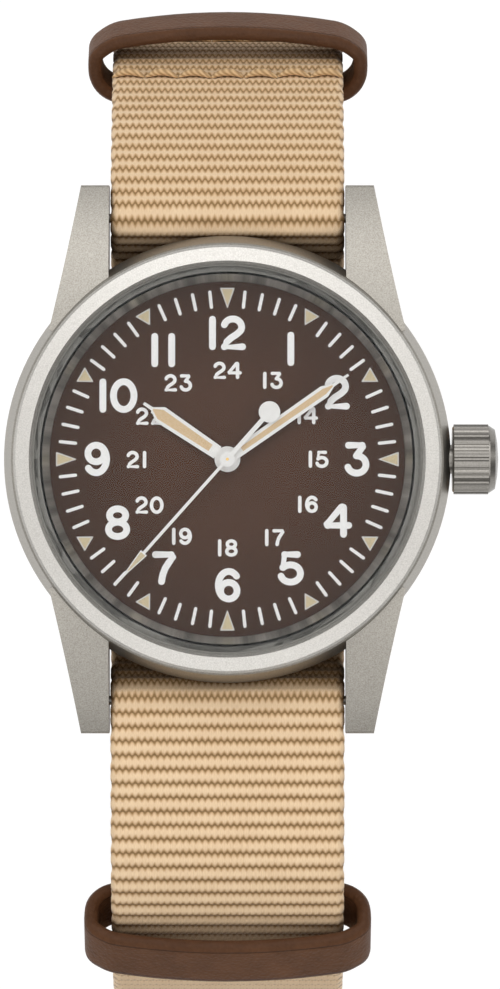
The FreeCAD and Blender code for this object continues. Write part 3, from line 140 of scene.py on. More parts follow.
# White matt table: seen directly, or in metal and glass, it is lifted to paper white by a glow, and
# the part of it that stays plain paint keeps the watch's own shadow.
glow_share = 0.85
glow_strength = 1.1
table_paint, tree, shader = finish("white_matt_table", Base_Color=linear("#f2f2f2"), Roughness=0.8)
path = add(tree, "ShaderNodeLightPath")
seen = add(tree, "ShaderNodeMath", {"operation": "MAXIMUM"},
           {0: path.outputs["Is Camera Ray"], 1: path.outputs["Is Glossy Ray"]})
seen = add(tree, "ShaderNodeMath", {"operation": "MAXIMUM"},
           {0: seen.outputs[0], 1: path.outputs["Is Transmission Ray"]})
share = add(tree, "ShaderNodeMath", {"operation": "MULTIPLY"}, {0: seen.outputs[0], 1: glow_share})
glow = add(tree, "ShaderNodeEmission", inputs={"Color": linear("#ffffff"), "Strength": glow_strength})
both = add(tree, "ShaderNodeMixShader",
           inputs={0: share.outputs[0], 1: shader.outputs[0], 2: glow.outputs[0]})
tree.links.new(both.outputs[0], tree.nodes["Material Output"].inputs["Surface"])
table_top.data.materials.append(table_paint)


# Case. Middle and lugs are one turned and milled block of stainless steel, blasted with glass beads
# to a fine, even, matt grain. The bezel is a snapped-on ring with the same finish, a shade lighter.

def dress(node_name, material):
    """Gives a CAD node its finish."""
    materials = nodes[node_name].data.materials
    if not materials:
        materials.append(material)
    for index in range(len(materials)):
        materials[index] = material


# The noise keeps to the middle of its range, so that much is spread over the two tints.
noise_reach = 0.22


def grain(tree, shader, size, depth, tint_low, tint_high):
    """A fine random grain of a given size in metres, in both height and shade."""
    at = add(tree, "ShaderNodeTexCoord")
    noise = add(tree, "ShaderNodeTexNoise", inputs={"Vector": at.outputs["Object"], "Scale": 1 / size,
                                                    "Detail": 2.0, "Roughness": 0.6})
    bump = add(tree, "ShaderNodeBump", inputs={"Height": noise.outputs["Fac"], "Distance": depth,
                                               "Strength": 1.0})
    tree.links.new(bump.outputs[0], shader.inputs["Normal"])
    wide = add(tree, "ShaderNodeMapRange",
               inputs={"Value": noise.outputs["Fac"],
                       "From Min": 0.5 - noise_reach, "From Max": 0.5 + noise_reach})
    shade = add(tree, "ShaderNodeMix", {"data_type": "RGBA"},
                {"Factor": wide.outputs[0], 6: linear(tint_low), 7: linear(tint_high)})
    tree.links.new(shade.outputs[2], shader.inputs["Base Color"])


# Bead-blasted steel: no lines, a sandy sparkle as coarse as the beads' dents, and soft broad highlights.
bead_dent = 0.11 * mm
blasted_steel, tree, shader = finish("bead_blasted_steel", Metallic=1.0, Roughness=0.46)
grain(tree, shader, bead_dent, 0.010 * mm, "#98938b", "#bcb8b0")
blasted_bezel, tree, shader = finish("bead_blasted_steel_bezel", Metallic=1.0, Roughness=0.42)
grain(tree, shader, bead_dent, 0.008 * mm, "#c3c0ba", "#e0ddd8")
dress("case_middle", blasted_steel)
dress("bezel", blasted_bezel)


# Crystal and its seat. The flat sapphire disc has bevelled edges and a coating against glare, and
# stands in a grey nylon gasket. The satin steel ring under it slopes down to the dial.

# Coated sapphire: a thin mirror that throws back a hundredth of the light straight on and six tenths
# of it at a grazing angle, and lets the rest through unbent.
sapphire, tree, shader = finish("coated_sapphire", Base_Color=linear("#f4f7f9"),
                                Roughness=0.02, Metallic=1.0)
edge_on = add(tree, "ShaderNodeFresnel", inputs={"IOR": 1.3})
mirror = add(tree, "ShaderNodeMapRange",
             inputs={"Value": edge_on.outputs[0], "From Min": 0.0, "From Max": 1.0,
                     "To Min": 0.0, "To Max": 0.6})
tree.links.new(mirror.outputs[0], shader.inputs["Alpha"])
dress("crystal", sapphire)

# Moulded nylon: smoke grey and dull.
nylon, tree, shader = finish("moulded_nylon", Roughness=0.45)
grain(tree, shader, 0.5 * mm, 0.002 * mm, "#817f79", "#8f8d87")
dress("crystal_gasket", nylon)

# Brushed steel of the sloping ring, brushed from its rim inward. Its shine in soft rays is painted: rays
# of lighter and darker tone, each about a thirteenth of a radian wide, are painted into its colour.
rays_per_radian = 13.0
across_dial = (1, 1, 0)
brushed_ring, tree, shader = finish("brushed_turned_steel", Metallic=0.75, Roughness=0.46)
at = add(tree, "ShaderNodeTexCoord")
flat = add(tree, "ShaderNodeVectorMath", {"operation": "MULTIPLY"},
           {0: at.outputs["Object"], 1: across_dial})
rays = add(tree, "ShaderNodeVectorMath", {"operation": "NORMALIZE"}, {0: flat.outputs[0]})
painted_ray_sheen = add(tree, "ShaderNodeTexNoise",
             inputs={"Vector": rays.outputs[0], "Scale": rays_per_radian, "Detail": 3.0})
tone = add(tree, "ShaderNodeMapRange",
           inputs={"Value": painted_ray_sheen.outputs["Fac"], "From Min": 0.35, "From Max": 0.65})
shade = add(tree, "ShaderNodeMix", {"data_type": "RGBA"},
            {"Factor": tone.outputs[0], 6: linear("#8e8b83"), 7: linear("#d2cfc7")})
tree.links.new(shade.outputs[2], shader.inputs["Base Color"])
dress("flange_ring", brushed_ring)


# Dial. A brass disc sprayed with matt brown lacquer, and pad-printed in white with minute strokes,
# the hours 1 to 12 and, smaller, 13 to 24. Twelve triangles of luminous paint stand in printed frames.

# Matt lacquer: a fine dust-like tooth and almost no gloss, darker towards the rim, where the ring's
# wall keeps light off it.
shade_start = 6 * mm
dial_rim = 15.4 * mm
rim_shade = 0.5
lacquer, tree, shader = finish("matt_brown_lacquer", Roughness=0.7, Specular_IOR_Level=0.08)
grain(tree, shader, 0.16 * mm, 0.004 * mm, "#4c3122", "#543828")
at = add(tree, "ShaderNodeTexCoord")
flat = add(tree, "ShaderNodeVectorMath", {"operation": "MULTIPLY"},
           {0: at.outputs["Object"], 1: across_dial})
radius = add(tree, "ShaderNodeVectorMath", {"operation": "LENGTH"}, {0: flat.outputs[0]})
rim = add(tree, "ShaderNodeMapRange", inputs={"Value": radius.outputs["Value"], "From Min": shade_start,
                                              "From Max": dial_rim, "To Max": rim_shade})
even = shader.inputs["Base Color"].links[0].from_socket
shade = add(tree, "ShaderNodeMix", {"data_type": "RGBA"},
            {"Factor": rim.outputs[0], 6: even, 7: linear("#20130c")})
tree.links.new(shade.outputs[2], shader.inputs["Base Color"])
dress("dial", lacquer)

# White printing ink, thick enough to catch the light on its edge.
white_ink, tree, shader = finish("white_printing_ink", Roughness=0.5, Specular_IOR_Level=0.4)
grain(tree, shader, 0.3 * mm, 0.002 * mm, "#f8f8f6", "#ffffff")

hour_stroke = 0.585
afternoon_stroke = 0.30
minute_stroke = 0.28
print_height = 0.022


def arc(cx, cy, rx, ry, start, end, steps=20):
    """Points of an arc, in degrees, from start to end."""
    turns = [math.radians(start + (end - start) * i / steps) for i in range(steps + 1)]
    return [(cx + rx * math.cos(a), cy + ry * math.sin(a)) for a in turns]


# The middle line of each digit's strokes, in millimetres from the digit's middle, at the hours' size.
nine = [arc(-0.09, 0.47, 0.71, 0.71, 60, 420), arc(-0.09, 0.014, 0.89, 1.19, 62, -138)]
digit_lines = {
    "0": [arc(0, 0, 0.88, 1.19, 90, 450, 32)],
    "1": [[(0, 1.17), (0, -1.17)]],
    "2": [arc(-0.04, 0.52, 0.75, 0.68, 164, -28)
          + [(0.32, -0.09), (-0.22, -0.44), (-0.55, -0.75), (-0.76, -1.18), (0.79, -1.18)]],
    "3": [[(-0.70, 1.19), (0.46, 1.19), (0.50, 1.06), (-0.02, 0.29)],
          arc(0, -0.45, 0.79, 0.74, 92, -162)],
    "4": [[(0.92, -0.41), (-0.88, -0.41), (-0.93, -0.30), (0.27, 1.13), (0.38, 1.17)],
          [(0.48, 1.12), (0.48, -1.17)]],
    "5": [[(0.55, 1.16), (-0.54, 1.16), (-0.70, 0.06)] + arc(-0.04, -0.46, 0.85, 0.74, 136, -162)],
    "6": [[(-x, -y) for x, y in line] for line in nine],
    "7": [[(-0.75, 1.15), (0.60, 1.15), (0.72, 0.93), (0.40, 0.48), (0.10, 0.02), (-0.12, -0.55),
           (-0.23, -1.15)]],
    "8": [arc(0, 0.62, 0.69, 0.56, -90, 270, 24), arc(0, -0.575, 0.78, 0.615, 90, 450, 24)],
    "9": nine,
}


def join(pieces, name):
    """Makes one object of several, and names it."""
    bpy.ops.object.select_all(action="DESELECT")
    for piece in pieces:
        piece.select_set(True)
    bpy.context.view_layer.objects.active = pieces[0]
    if len(pieces) > 1:
        bpy.ops.object.join()
    bpy.context.object.name = name
    return bpy.context.object


def settle(piece):
    """Puts the piece's place, turn and scale into its mesh."""
    bpy.ops.object.select_all(action="DESELECT")
    piece.select_set(True)
    bpy.context.view_layer.objects.active = piece
    bpy.ops.object.transform_apply(location=True, rotation=True, scale=True)
    return piece


sharp_bend = 0.35


def pen_line(points, width, centre, scale, lift=0.0):
    """One pen stroke of ink, with a ball of ink at each end and sharp bend, lifted clear of the last."""
    places = [((centre[0] + x * scale) * mm, (centre[1] + y * scale) * mm) for x, y in points]
    curve = bpy.data.curves.new("stroke", "CURVE")
    curve.dimensions = "3D"
    curve.bevel_depth = width / 2 * mm
    curve.bevel_resolution = 1
    curve.use_fill_caps = True
    line = curve.splines.new("POLY")
    closed = math.dist(places[0], places[-1]) < 0.01 * mm
    if closed:
        places.pop()
        line.use_cyclic_u = True
    line.points.add(len(places) - 1)
    for point, place in zip(line.points, places):
        point.co = (place[0], place[1], 0, 1)
    stroke = bpy.data.objects.new("stroke", curve)
    bpy.context.scene.collection.objects.link(stroke)
    bpy.ops.object.select_all(action="DESELECT")
    stroke.select_set(True)
    bpy.context.view_layer.objects.active = stroke
    bpy.ops.object.convert(target="MESH")
    made = [bpy.context.object]
    for index, place in enumerate([] if closed else places):
        before = Vector(place) - Vector(places[index - 1]) if index else Vector((0, 0))
        after = Vector(places[index + 1]) - Vector(place) if index + 1 < len(places) else Vector((0, 0))
        bend = before.length and after.length and before.angle(after)
        if not before.length or not after.length or bend > sharp_bend:
            bpy.ops.mesh.primitive_uv_sphere_add(segments=16, ring_count=6, radius=width / 2 * mm,
                                                 location=(place[0], place[1], 0))
            made.append(bpy.context.object)
    stroke = join(made, "stroke")
    stroke.location.z += lift * mm
    return settle(stroke)


def print_flat(strokes, name):
    """Joins strokes into one printing, pressed flat on the dial."""
    ink = join(strokes, name)
    ink.scale.z = print_height / (hour_stroke / 2)
    ink.location.z = dial_top
    settle(ink)
    bpy.ops.object.shade_smooth_by_angle(angle=math.radians(50))
    ink.data.materials.clear()
    ink.data.materials.append(white_ink)
    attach(ink, "watch")


narrow_one = 0.37
stroke_lift = 0.03


def number(text, centre, scale, stroke, pitch):
    """A number set from its middle, digit by digit; a 1 is narrow, and the pair shifts towards it."""
    strokes = []
    for index, digit in enumerate(text):
        shift = (index - (len(text) - 1) / 2) * pitch
        if len(text) == 2 and (text[0] == "1") != (text[1] == "1"):
            shift += (-narrow_one if text[0] == "1" else narrow_one) * scale
        for count, line in enumerate(digit_lines[digit]):
            place = (centre[0] + shift, centre[1])
            strokes.append(pen_line(line, stroke, place, scale, stroke_lift * count))
    return strokes


pivot_seen = (228.2, 458.6)


def on_dial(x, y):
    """A point of the photograph, from the hands' pivot, in millimetres."""
    return (x - pivot_seen[0]) / points_per_mm, (pivot_seen[1] - y) / points_per_mm


# The middle of each number, in points of the photograph.
hours_seen = {"12": (228, 332.4), "1": (291.6, 348.3), "2": (338, 391.8), "3": (357.5, 458.6),
              "4": (338.7, 520), "5": (291.8, 567.5), "6": (228.5, 584.6), "7": (165, 567.5),
              "8": (118.4, 522), "9": (98, 458.4), "10": (118.4, 395), "11": (164, 349.5)}
afternoon_seen = {"24": (228, 369.8), "13": (273.6, 379.8), "14": (308, 415), "15": (319.2, 458.6),
                  "16": (308.6, 503.7), "17": (275.6, 537), "18": (228.5, 547.3), "19": (182.6, 535.7),
                  "20": (150, 504.5), "21": (137.3, 459), "22": (150.5, 415.7), "23": (179, 382.3)}
hour_pitch = 1.78
hour_pitch_of_11 = 1.446
afternoon_scale = 0.505
afternoon_pitch = 1.28
afternoon_pitch_with_1 = 1.0
strokes = []
for text, place in hours_seen.items():
    pitch = hour_pitch_of_11 if text == "11" else hour_pitch
    strokes += number(text, on_dial(*place), 1.0, hour_stroke, pitch)
print_flat(strokes, "hour_numbers")
strokes = []
for text, place in afternoon_seen.items():
    pitch = afternoon_pitch_with_1 if "1" in text else afternoon_pitch
    strokes += number(text, on_dial(*place), afternoon_scale, afternoon_stroke, pitch)
print_flat(strokes, "afternoon_numbers")

# The minute strokes run from 12.9 to 14.5 mm out with their round ends, and leave out every fifth,
# where a triangle stands.
minute_line = [(0, 13.06), (0, 14.36)]
tick = pen_line(minute_line, minute_stroke, (0, 0), 1.0)
strokes = []
for minute in range(60):
    if minute % 5:
        copy = tick.copy()
        copy.data = tick.data.copy()
        bpy.context.scene.collection.objects.link(copy)
        copy.rotation_euler.z = -math.radians(360 / 60 * minute)
        strokes.append(copy)
bpy.data.objects.remove(tick)
print_flat(strokes, "minute_strokes")


# Hour triangles. Each is a printed grey-white frame filled with a cushion of cream luminous paint,
# which is a coarse powder in varnish and dries with a sandy, slightly domed face.

cream_lume, tree, shader = finish("cream_luminous_paint", Roughness=0.75, Specular_IOR_Level=0.2)
grain(tree, shader, 0.10 * mm, 0.012 * mm, "#c8bd9a", "#e6d4ae")
frame_ink, tree, shader = finish("grey_white_printing_ink", Roughness=0.5)
grain(tree, shader, 0.2 * mm, 0.002 * mm, "#d3d0ca", "#dedbd6")

corner_round = 0.09 * mm
shoulder_width = 0.02 * mm
shoulder_rise = 0.006 * mm
tip_draw = 2.2
side_draw = 1.5


def triangle(base, tip, width, inset, height, name):
    """A low triangular cushion with rounded corners that points to the dial's centre."""
    bpy.ops.object.select_all(action="DESELECT")
    bpy.ops.mesh.primitive_circle_add(vertices=3, radius=mm, fill_type="NGON")
    made = bpy.context.object
    side = width / 2 - inset * side_draw
    corners = ((0, tip + inset * tip_draw), (-side, base - inset), (side, base - inset))
    for vertex, place in zip(made.data.vertices, corners):
        vertex.co = (place[0] * mm, place[1] * mm, 0)
    bpy.ops.object.mode_set(mode="EDIT")
    bpy.ops.mesh.select_all(action="SELECT")
    bpy.ops.mesh.bevel(offset=corner_round, segments=3, affect="VERTICES")
    bpy.ops.mesh.normals_make_consistent(inside=False)
    bpy.ops.mesh.extrude_region_move(TRANSFORM_OT_translate={"value": (0, 0, height * mm)})
    bpy.ops.mesh.inset(thickness=shoulder_width, depth=shoulder_rise)
    bpy.ops.mesh.select_all(action="SELECT")
    bpy.ops.mesh.normals_make_consistent(inside=False)
    bpy.ops.object.mode_set(mode="OBJECT")
    made.name = name
    return made


# Base, tip and width: the triangles at 12, 3, 6 and 9 reach further in than the others.
quarter_triangle = (14.65, 12.86, 1.28)
hour_triangle = (14.5, 13.2, 1.46)
frame_height = 0.015
lume_height = 0.045
lume_inset = 0.12
frames = []
fills = []
for hour in range(12):
    base, tip, width = quarter_triangle if hour % 3 == 0 else hour_triangle
    for inset, height, heap, name in ((0.0, frame_height, frames, "frame"),
                                      (lume_inset, lume_height, fills, "fill")):
        made = triangle(base, tip, width, inset, height, name)
        made.rotation_euler.z = -math.radians(360 / 12 * hour)
        made.location.z = dial_top
        heap.append(made)
for heap, name, material, colour_slot in ((frames, "hour_triangle_frames", frame_ink, "hand_white"),
                                          (fills, "hour_triangles", cream_lume, "lume")):
    made = settle(join(heap, name))
    made.data.materials.append(material)
    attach(made, "watch")


# Hands. Thin brass blanks, lacquered white, with windows filled with sand-coloured luminous paint.
# The seconds hand is pressed on the centre arbor, over the pipes of the minute and the hour hand.

# Smooth lacquer: white, with rounded, softly shining edges.
white_lacquer, tree, shader = finish("white_lacquer", Roughness=0.32, Coat_Weight=0.2)
grain(tree, shader, 0.5 * mm, 0.001 * mm, "#efeeeb", "#f6f5f2")
for name in ("hour_hand", "minute_hand", "seconds_hand"):
    dress(name, white_lacquer)

# Luminous paint: a fine matt powder, sand-coloured in the big hands, and the dial's cream in the
# seconds hand.
sand_lume, tree, shader = finish("sand_luminous_paint", Roughness=0.8, Specular_IOR_Level=0.15)
grain(tree, shader, 0.12 * mm, 0.006 * mm, "#dcbf96", "#e6cba5")
for name in ("hour_hand_lume", "minute_hand_lume"):
    dress(name, sand_lume)
dress("seconds_hand_lume", cream_lume)


# Crown, stem, case back and spring bars. All are turned from the same steel as the case and left with
# a satin face. The crown is coin-fluted, with a chamfer and a low domed end.

satin_steel, tree, shader = finish("satin_turned_steel", Metallic=1.0, Roughness=0.3)
grain(tree, shader, 0.14 * mm, 0.003 * mm, "#83807a", "#97938e")
for name in ("crown", "winding_stem", "crown_tube", "spring_bar_tubes", "case_back",
             "bar_tip_12_right", "bar_tip_12_left", "bar_tip_6_right", "bar_tip_6_left"):
    dress(name, satin_steel)


# Seals and movement holder. Rubber rings keep water out at the crown and at the case back, and a
# moulded acetal ring holds the movement in the case.

# Moulded rubber: black and dull, with a greasy trace of shine.
seal_rubber, tree, shader = finish("black_seal_rubber", Roughness=0.6)
grain(tree, shader, 0.2 * mm, 0.003 * mm, "#1c1b1a", "#2a2827")
dress("crown_gasket", seal_rubber)
dress("case_back_gasket", seal_rubber)

# Moulded acetal: milky white with a soft shine.
holder_plastic, tree, shader = finish("moulded_acetal", Roughness=0.5)
grain(tree, shader, 0.4 * mm, 0.002 * mm, "#d8d4c8", "#e4e0d6")
dress("movement_holder", holder_plastic)


# Movement. Plate and bridges are brass, plated with nickel and brushed; wheels are gilt brass,
# pinions and levers hardened steel, the balance a gold-coloured alloy and its spring blued.

# Nine brush lines to a millimetre, each about three millimetres long.
lines_per_metre = (9000, 350, 9000)
brush_depth = 0.004 * mm


def brushed(tree, shader, low, high):
    """Fine parallel brush lines along Y."""
    at = add(tree, "ShaderNodeTexCoord")
    stretch = add(tree, "ShaderNodeMapping",
                  inputs={"Vector": at.outputs["Object"], "Scale": lines_per_metre})
    lines = add(tree, "ShaderNodeTexNoise",
                inputs={"Vector": stretch.outputs[0], "Scale": 1.0, "Detail": 3.0})
    bump = add(tree, "ShaderNodeBump",
               inputs={"Height": lines.outputs["Fac"], "Distance": brush_depth, "Strength": 1.0})
    shade = add(tree, "ShaderNodeMix", {"data_type": "RGBA"},
                {"Factor": lines.outputs["Fac"], 6: linear(low), 7: linear(high)})
    tree.links.new(bump.outputs[0], shader.inputs["Normal"])
    tree.links.new(shade.outputs[2], shader.inputs["Base Color"])


# The metals differ in colour and in how smooth they are: the plate is dullest and the balance the
# brightest. Jewels of ruby are red glass to the eye.
nickel, tree, shader = finish("brushed_nickel_plate", Metallic=1.0, Roughness=0.32)
brushed(tree, shader, "#b5b2aa", "#d2cfc8")
gilt, tree, shader = finish("gilt_brass", Metallic=1.0, Roughness=0.28)
brushed(tree, shader, "#c29a55", "#d9b878")
tool_steel, tree, shader = finish("hardened_steel", Metallic=1.0, Roughness=0.25)
brushed(tree, shader, "#8f8f90", "#b4b4b5")
balance_gold, tree, shader = finish("balance_alloy", Metallic=1.0, Roughness=0.2)
brushed(tree, shader, "#cfae6a", "#e2c98f")
blued, tree, shader = finish("blued_spring_steel", Metallic=1.0, Roughness=0.25)
brushed(tree, shader, "#26407c", "#3b5ea4")
ruby, tree, shader = finish("synthetic_ruby", Roughness=0.08, Coat_Weight=0.5, IOR=1.76)
grain(tree, shader, 0.3 * mm, 0.0005 * mm, "#8e1030", "#b52048")
for material, names in (
        (nickel, ("main_plate", "barrel_bridge", "train_bridge", "pallet_bridge", "balance_cock")),
        (gilt, ("barrel_drum", "second_wheel", "third_wheel", "fourth_wheel", "hour_wheel", "minute_wheel")),
        (tool_steel, ("mainspring", "barrel_arbor", "ratchet_wheel", "crown_wheel", "click", "escape_wheel",
                      "pallet_fork", "cannon_pinion", "winding_pinion", "sliding_pinion", "setting_lever",
                      "bridge_screws")),
        (balance_gold, ("balance_wheel",)), (blued, ("hairspring",)), (ruby, ("jewels",))):
    for name in names:
        dress(name, material)


# Strap. One long strip of nylon webbing, 20 mm wide and 1.3 mm thick: a warp-faced rib weave, whose
# plump floats lock into each other like teeth between one rib and the next. It runs from the rounded,
# heat-cut tail under the case, up and over both spring bars, and back round the bar of the buckle.

# Millimetres. The case back stands this high over the table. A place is Y, Z and heading, and a line
# is made of straight runs and of turns with a radius and an angle in degrees.
head_lift = 41.3034
rib_pitch = 1.22
tooth_pitch = 0.545
web_half = 0.65
web_half_width = 10.08
start_low = (0.0, -0.8, 0.0)
start_under = (0.0, -2.25, 0.0)
upper_line = [("run", 16.4853), ("turn", 1.6, 60.0), ("run", 3.06), ("turn", 1.5, -90.0),
              ("turn", 35.0, -28.0), ("turn", 20.0, -32.0), ("turn", 19.8403, -90.0), ("turn", 24.0, -55.0),
              ("turn", 2.0, 41.4706), ("turn", 1.55, -262.9412), ("turn", 2.0, 41.4706),
              ("turn", 22.68, 20.2102)]
lower_line = [("run", 16.4853), ("turn", 1.6, 60.0), ("run", 3.06), ("turn", 1.5, -64.0),
              ("turn", 80.0, -9.0), ("turn", 13.0, -37.0), ("turn", 30.0, -40.0), ("turn", 18.6, -90.0),
              ("run", 66.0)]
short_upper_line = [("run", 20.5345), ("turn", 13.6754, -56.0), ("turn", 33.68, -2.0),
                    ("turn", 18.68, -27.2317)]
short_lower_line = [("run", 30.3968), ("turn", 7.747, -50.0), ("run", 3.0), ("turn", 1.5, 180.0),
                    ("run", 2.2), ("turn", 11.55, 20.8348)]


def onward(place, move, share=1.0):
    """The place (y, z, heading) after a share of one run or turn."""
    y, z, heading = place
    angle = math.radians(heading)
    if move[0] == "run":
        return y + move[1] * share * math.cos(angle), z + move[1] * share * math.sin(angle), heading
    radius = math.copysign(move[1], move[2])
    new = math.radians(heading + move[2] * share)
    return (y + radius * (math.sin(new) - math.sin(angle)), z - radius * (math.cos(new) - math.cos(angle)),
            heading + move[2] * share)


def line_length(line):
    """The length of a line's runs and turns."""
    return sum(m[1] if m[0] == "run" else m[1] * math.radians(abs(m[2])) for m in line)


def along(place, line, distance):
    """The place at a distance along a line."""
    for move in line:
        length = line_length([move])
        if distance <= length:
            return onward(place, move, distance / length)
        distance -= length
        place = onward(place, move)
    return place


def two_way(start, upper, lower, distance):
    """A place on a strip that runs both ways from under the case: upper is positive."""
    if distance >= 0:
        return along(start, upper, distance)
    y, z, heading = along(start, lower, -distance)
    return -y, z, -heading


def rounded_half(distance, radius):
    """Half the width of a strip at a distance from its rounded end."""
    if distance >= radius:
        return web_half_width
    return web_half_width - radius + math.sqrt(max(0.0, radius ** 2 - (radius - distance) ** 2))


# The skin round the web, in millimetres. Each edge has four points, given by their distance from the
# middle and their share of the half thickness; the rises are those of groove, flank, crest and flank.
face_half_columns = 35
back_columns = 20
back_reach = 9.5
edge_ring = [(9.84, 0.72), (10.08, 0.25), (10.08, -0.25), (9.84, -0.72)]
groove_depth = 0.23
rib_rise = (0.0, 0.13, 0.21, 0.13)
face_dip = 0.10
back_dip = 0.04
edge_thinning = 0.12
edge_dip = 0.04
edge_bulge = 0.10
hole_radius = 1.12
slot_half_width = 1.3


def woven(name, start, upper, lower, end_radius, low_radius, holes=(), slot=None):
    """Webbing as a closed skin: a row at each rib's crest, flanks and groove, a column at each float."""
    low, high = -line_length(lower), line_length(upper)
    ribs = round((high - low) / rib_pitch)
    pitch = (high - low) / ribs
    outer = [(i * tooth_pitch / 2, 1.0) for i in range(-face_half_columns, face_half_columns + 1)]
    inner = [(back_reach - i * 1.0, -1.0) for i in range(back_columns)]
    ring = outer + edge_ring + inner + [(-x, -h) for x, h in edge_ring]
    vertices = []
    flat_at = []
    rows = ribs * 4 + 1
    for row in range(rows):
        rib, quarter = divmod(row + 2, 4)
        distance = low + (high - low) * row / (rows - 1)
        y, z, heading = two_way(start, upper, lower, distance)
        angle = math.radians(heading)
        half = min(rounded_half(high - distance, end_radius), rounded_half(distance - low, low_radius))
        crest = rib_rise[quarter]
        bulge = edge_bulge * math.cos(math.pi * (row / 4 + 0.5))
        for x, side in ring:
            if abs(side) == 1.0:
                column = round(x / (tooth_pitch / 2)) if side > 0 else round(x)
                dives = (column + rib) % 2 and quarter in (1, 3)
                dip = face_dip if side > 0 else back_dip
                lift = crest - (dip if dives else 0.0)
                across = side * (web_half - groove_depth + lift)
            else:
                across = side * (web_half - edge_thinning)
                x = x - math.copysign(edge_dip - bulge, x)
            x = x * half / web_half_width
            vertices.append((x * mm, (y - across * math.sin(angle)) * mm,
                             (z + across * math.cos(angle) + head_lift) * mm))
            flat_at.append((x, distance / pitch * rib_pitch))
    count = len(ring)
    faces = []
    for row in range(rows - 1):
        for i in range(count):
            j = (i + 1) % count
            face = (row * count + i, row * count + j, (row + 1) * count + j, (row + 1) * count + i)
            x = sum(flat_at[v][0] for v in face) / 4
            distance = low + (high - low) * (row + 0.5) / (rows - 1)
            if any(math.hypot(x, distance - at) < hole_radius for at in holes):
                continue
            if slot and slot[0] < distance < slot[1] and abs(x) < slot_half_width:
                continue
            faces.append(face)
    faces.append(tuple(range(count))[::-1])
    faces.append(tuple(range((rows - 1) * count, rows * count)))
    mesh = bpy.data.meshes.new(name)
    mesh.from_pydata(vertices, [], faces)
    layer = mesh.uv_layers.new(name="weave")
    for loop in mesh.loops:
        layer.data[loop.index].uv = flat_at[loop.vertex_index]
    strip = bpy.data.objects.new(name, mesh)
    bpy.context.scene.collection.objects.link(strip)
    bpy.ops.object.select_all(action="DESELECT")
    strip.select_set(True)
    bpy.context.view_layer.objects.active = strip
    bpy.ops.object.mode_set(mode="EDIT")
    bpy.ops.mesh.select_all(action="SELECT")
    bpy.ops.mesh.normals_make_consistent(inside=False)
    bpy.ops.mesh.delete_loose()
    bpy.ops.object.mode_set(mode="OBJECT")
    bpy.ops.object.shade_smooth()
    return strip


# How dark the painted shade in gaps and grooves gets, and the filaments: 13 to a millimetre across, 1.6
# along.
gap_strength = 4.6
gap_start = -0.17
groove_sharpness = 3.2
groove_shade = 0.45
filament_stretch = (13.0, 1.6, 1.0)
# The reach and depth of the painted shade under keeper and case, and the web's gloss and sheen where none
# lies.
painted_shade_reach = 5 * mm
deepest_shade = 0.85
web_gloss = 0.35
web_sheen = 0.25
web_relief = 0.07 * mm


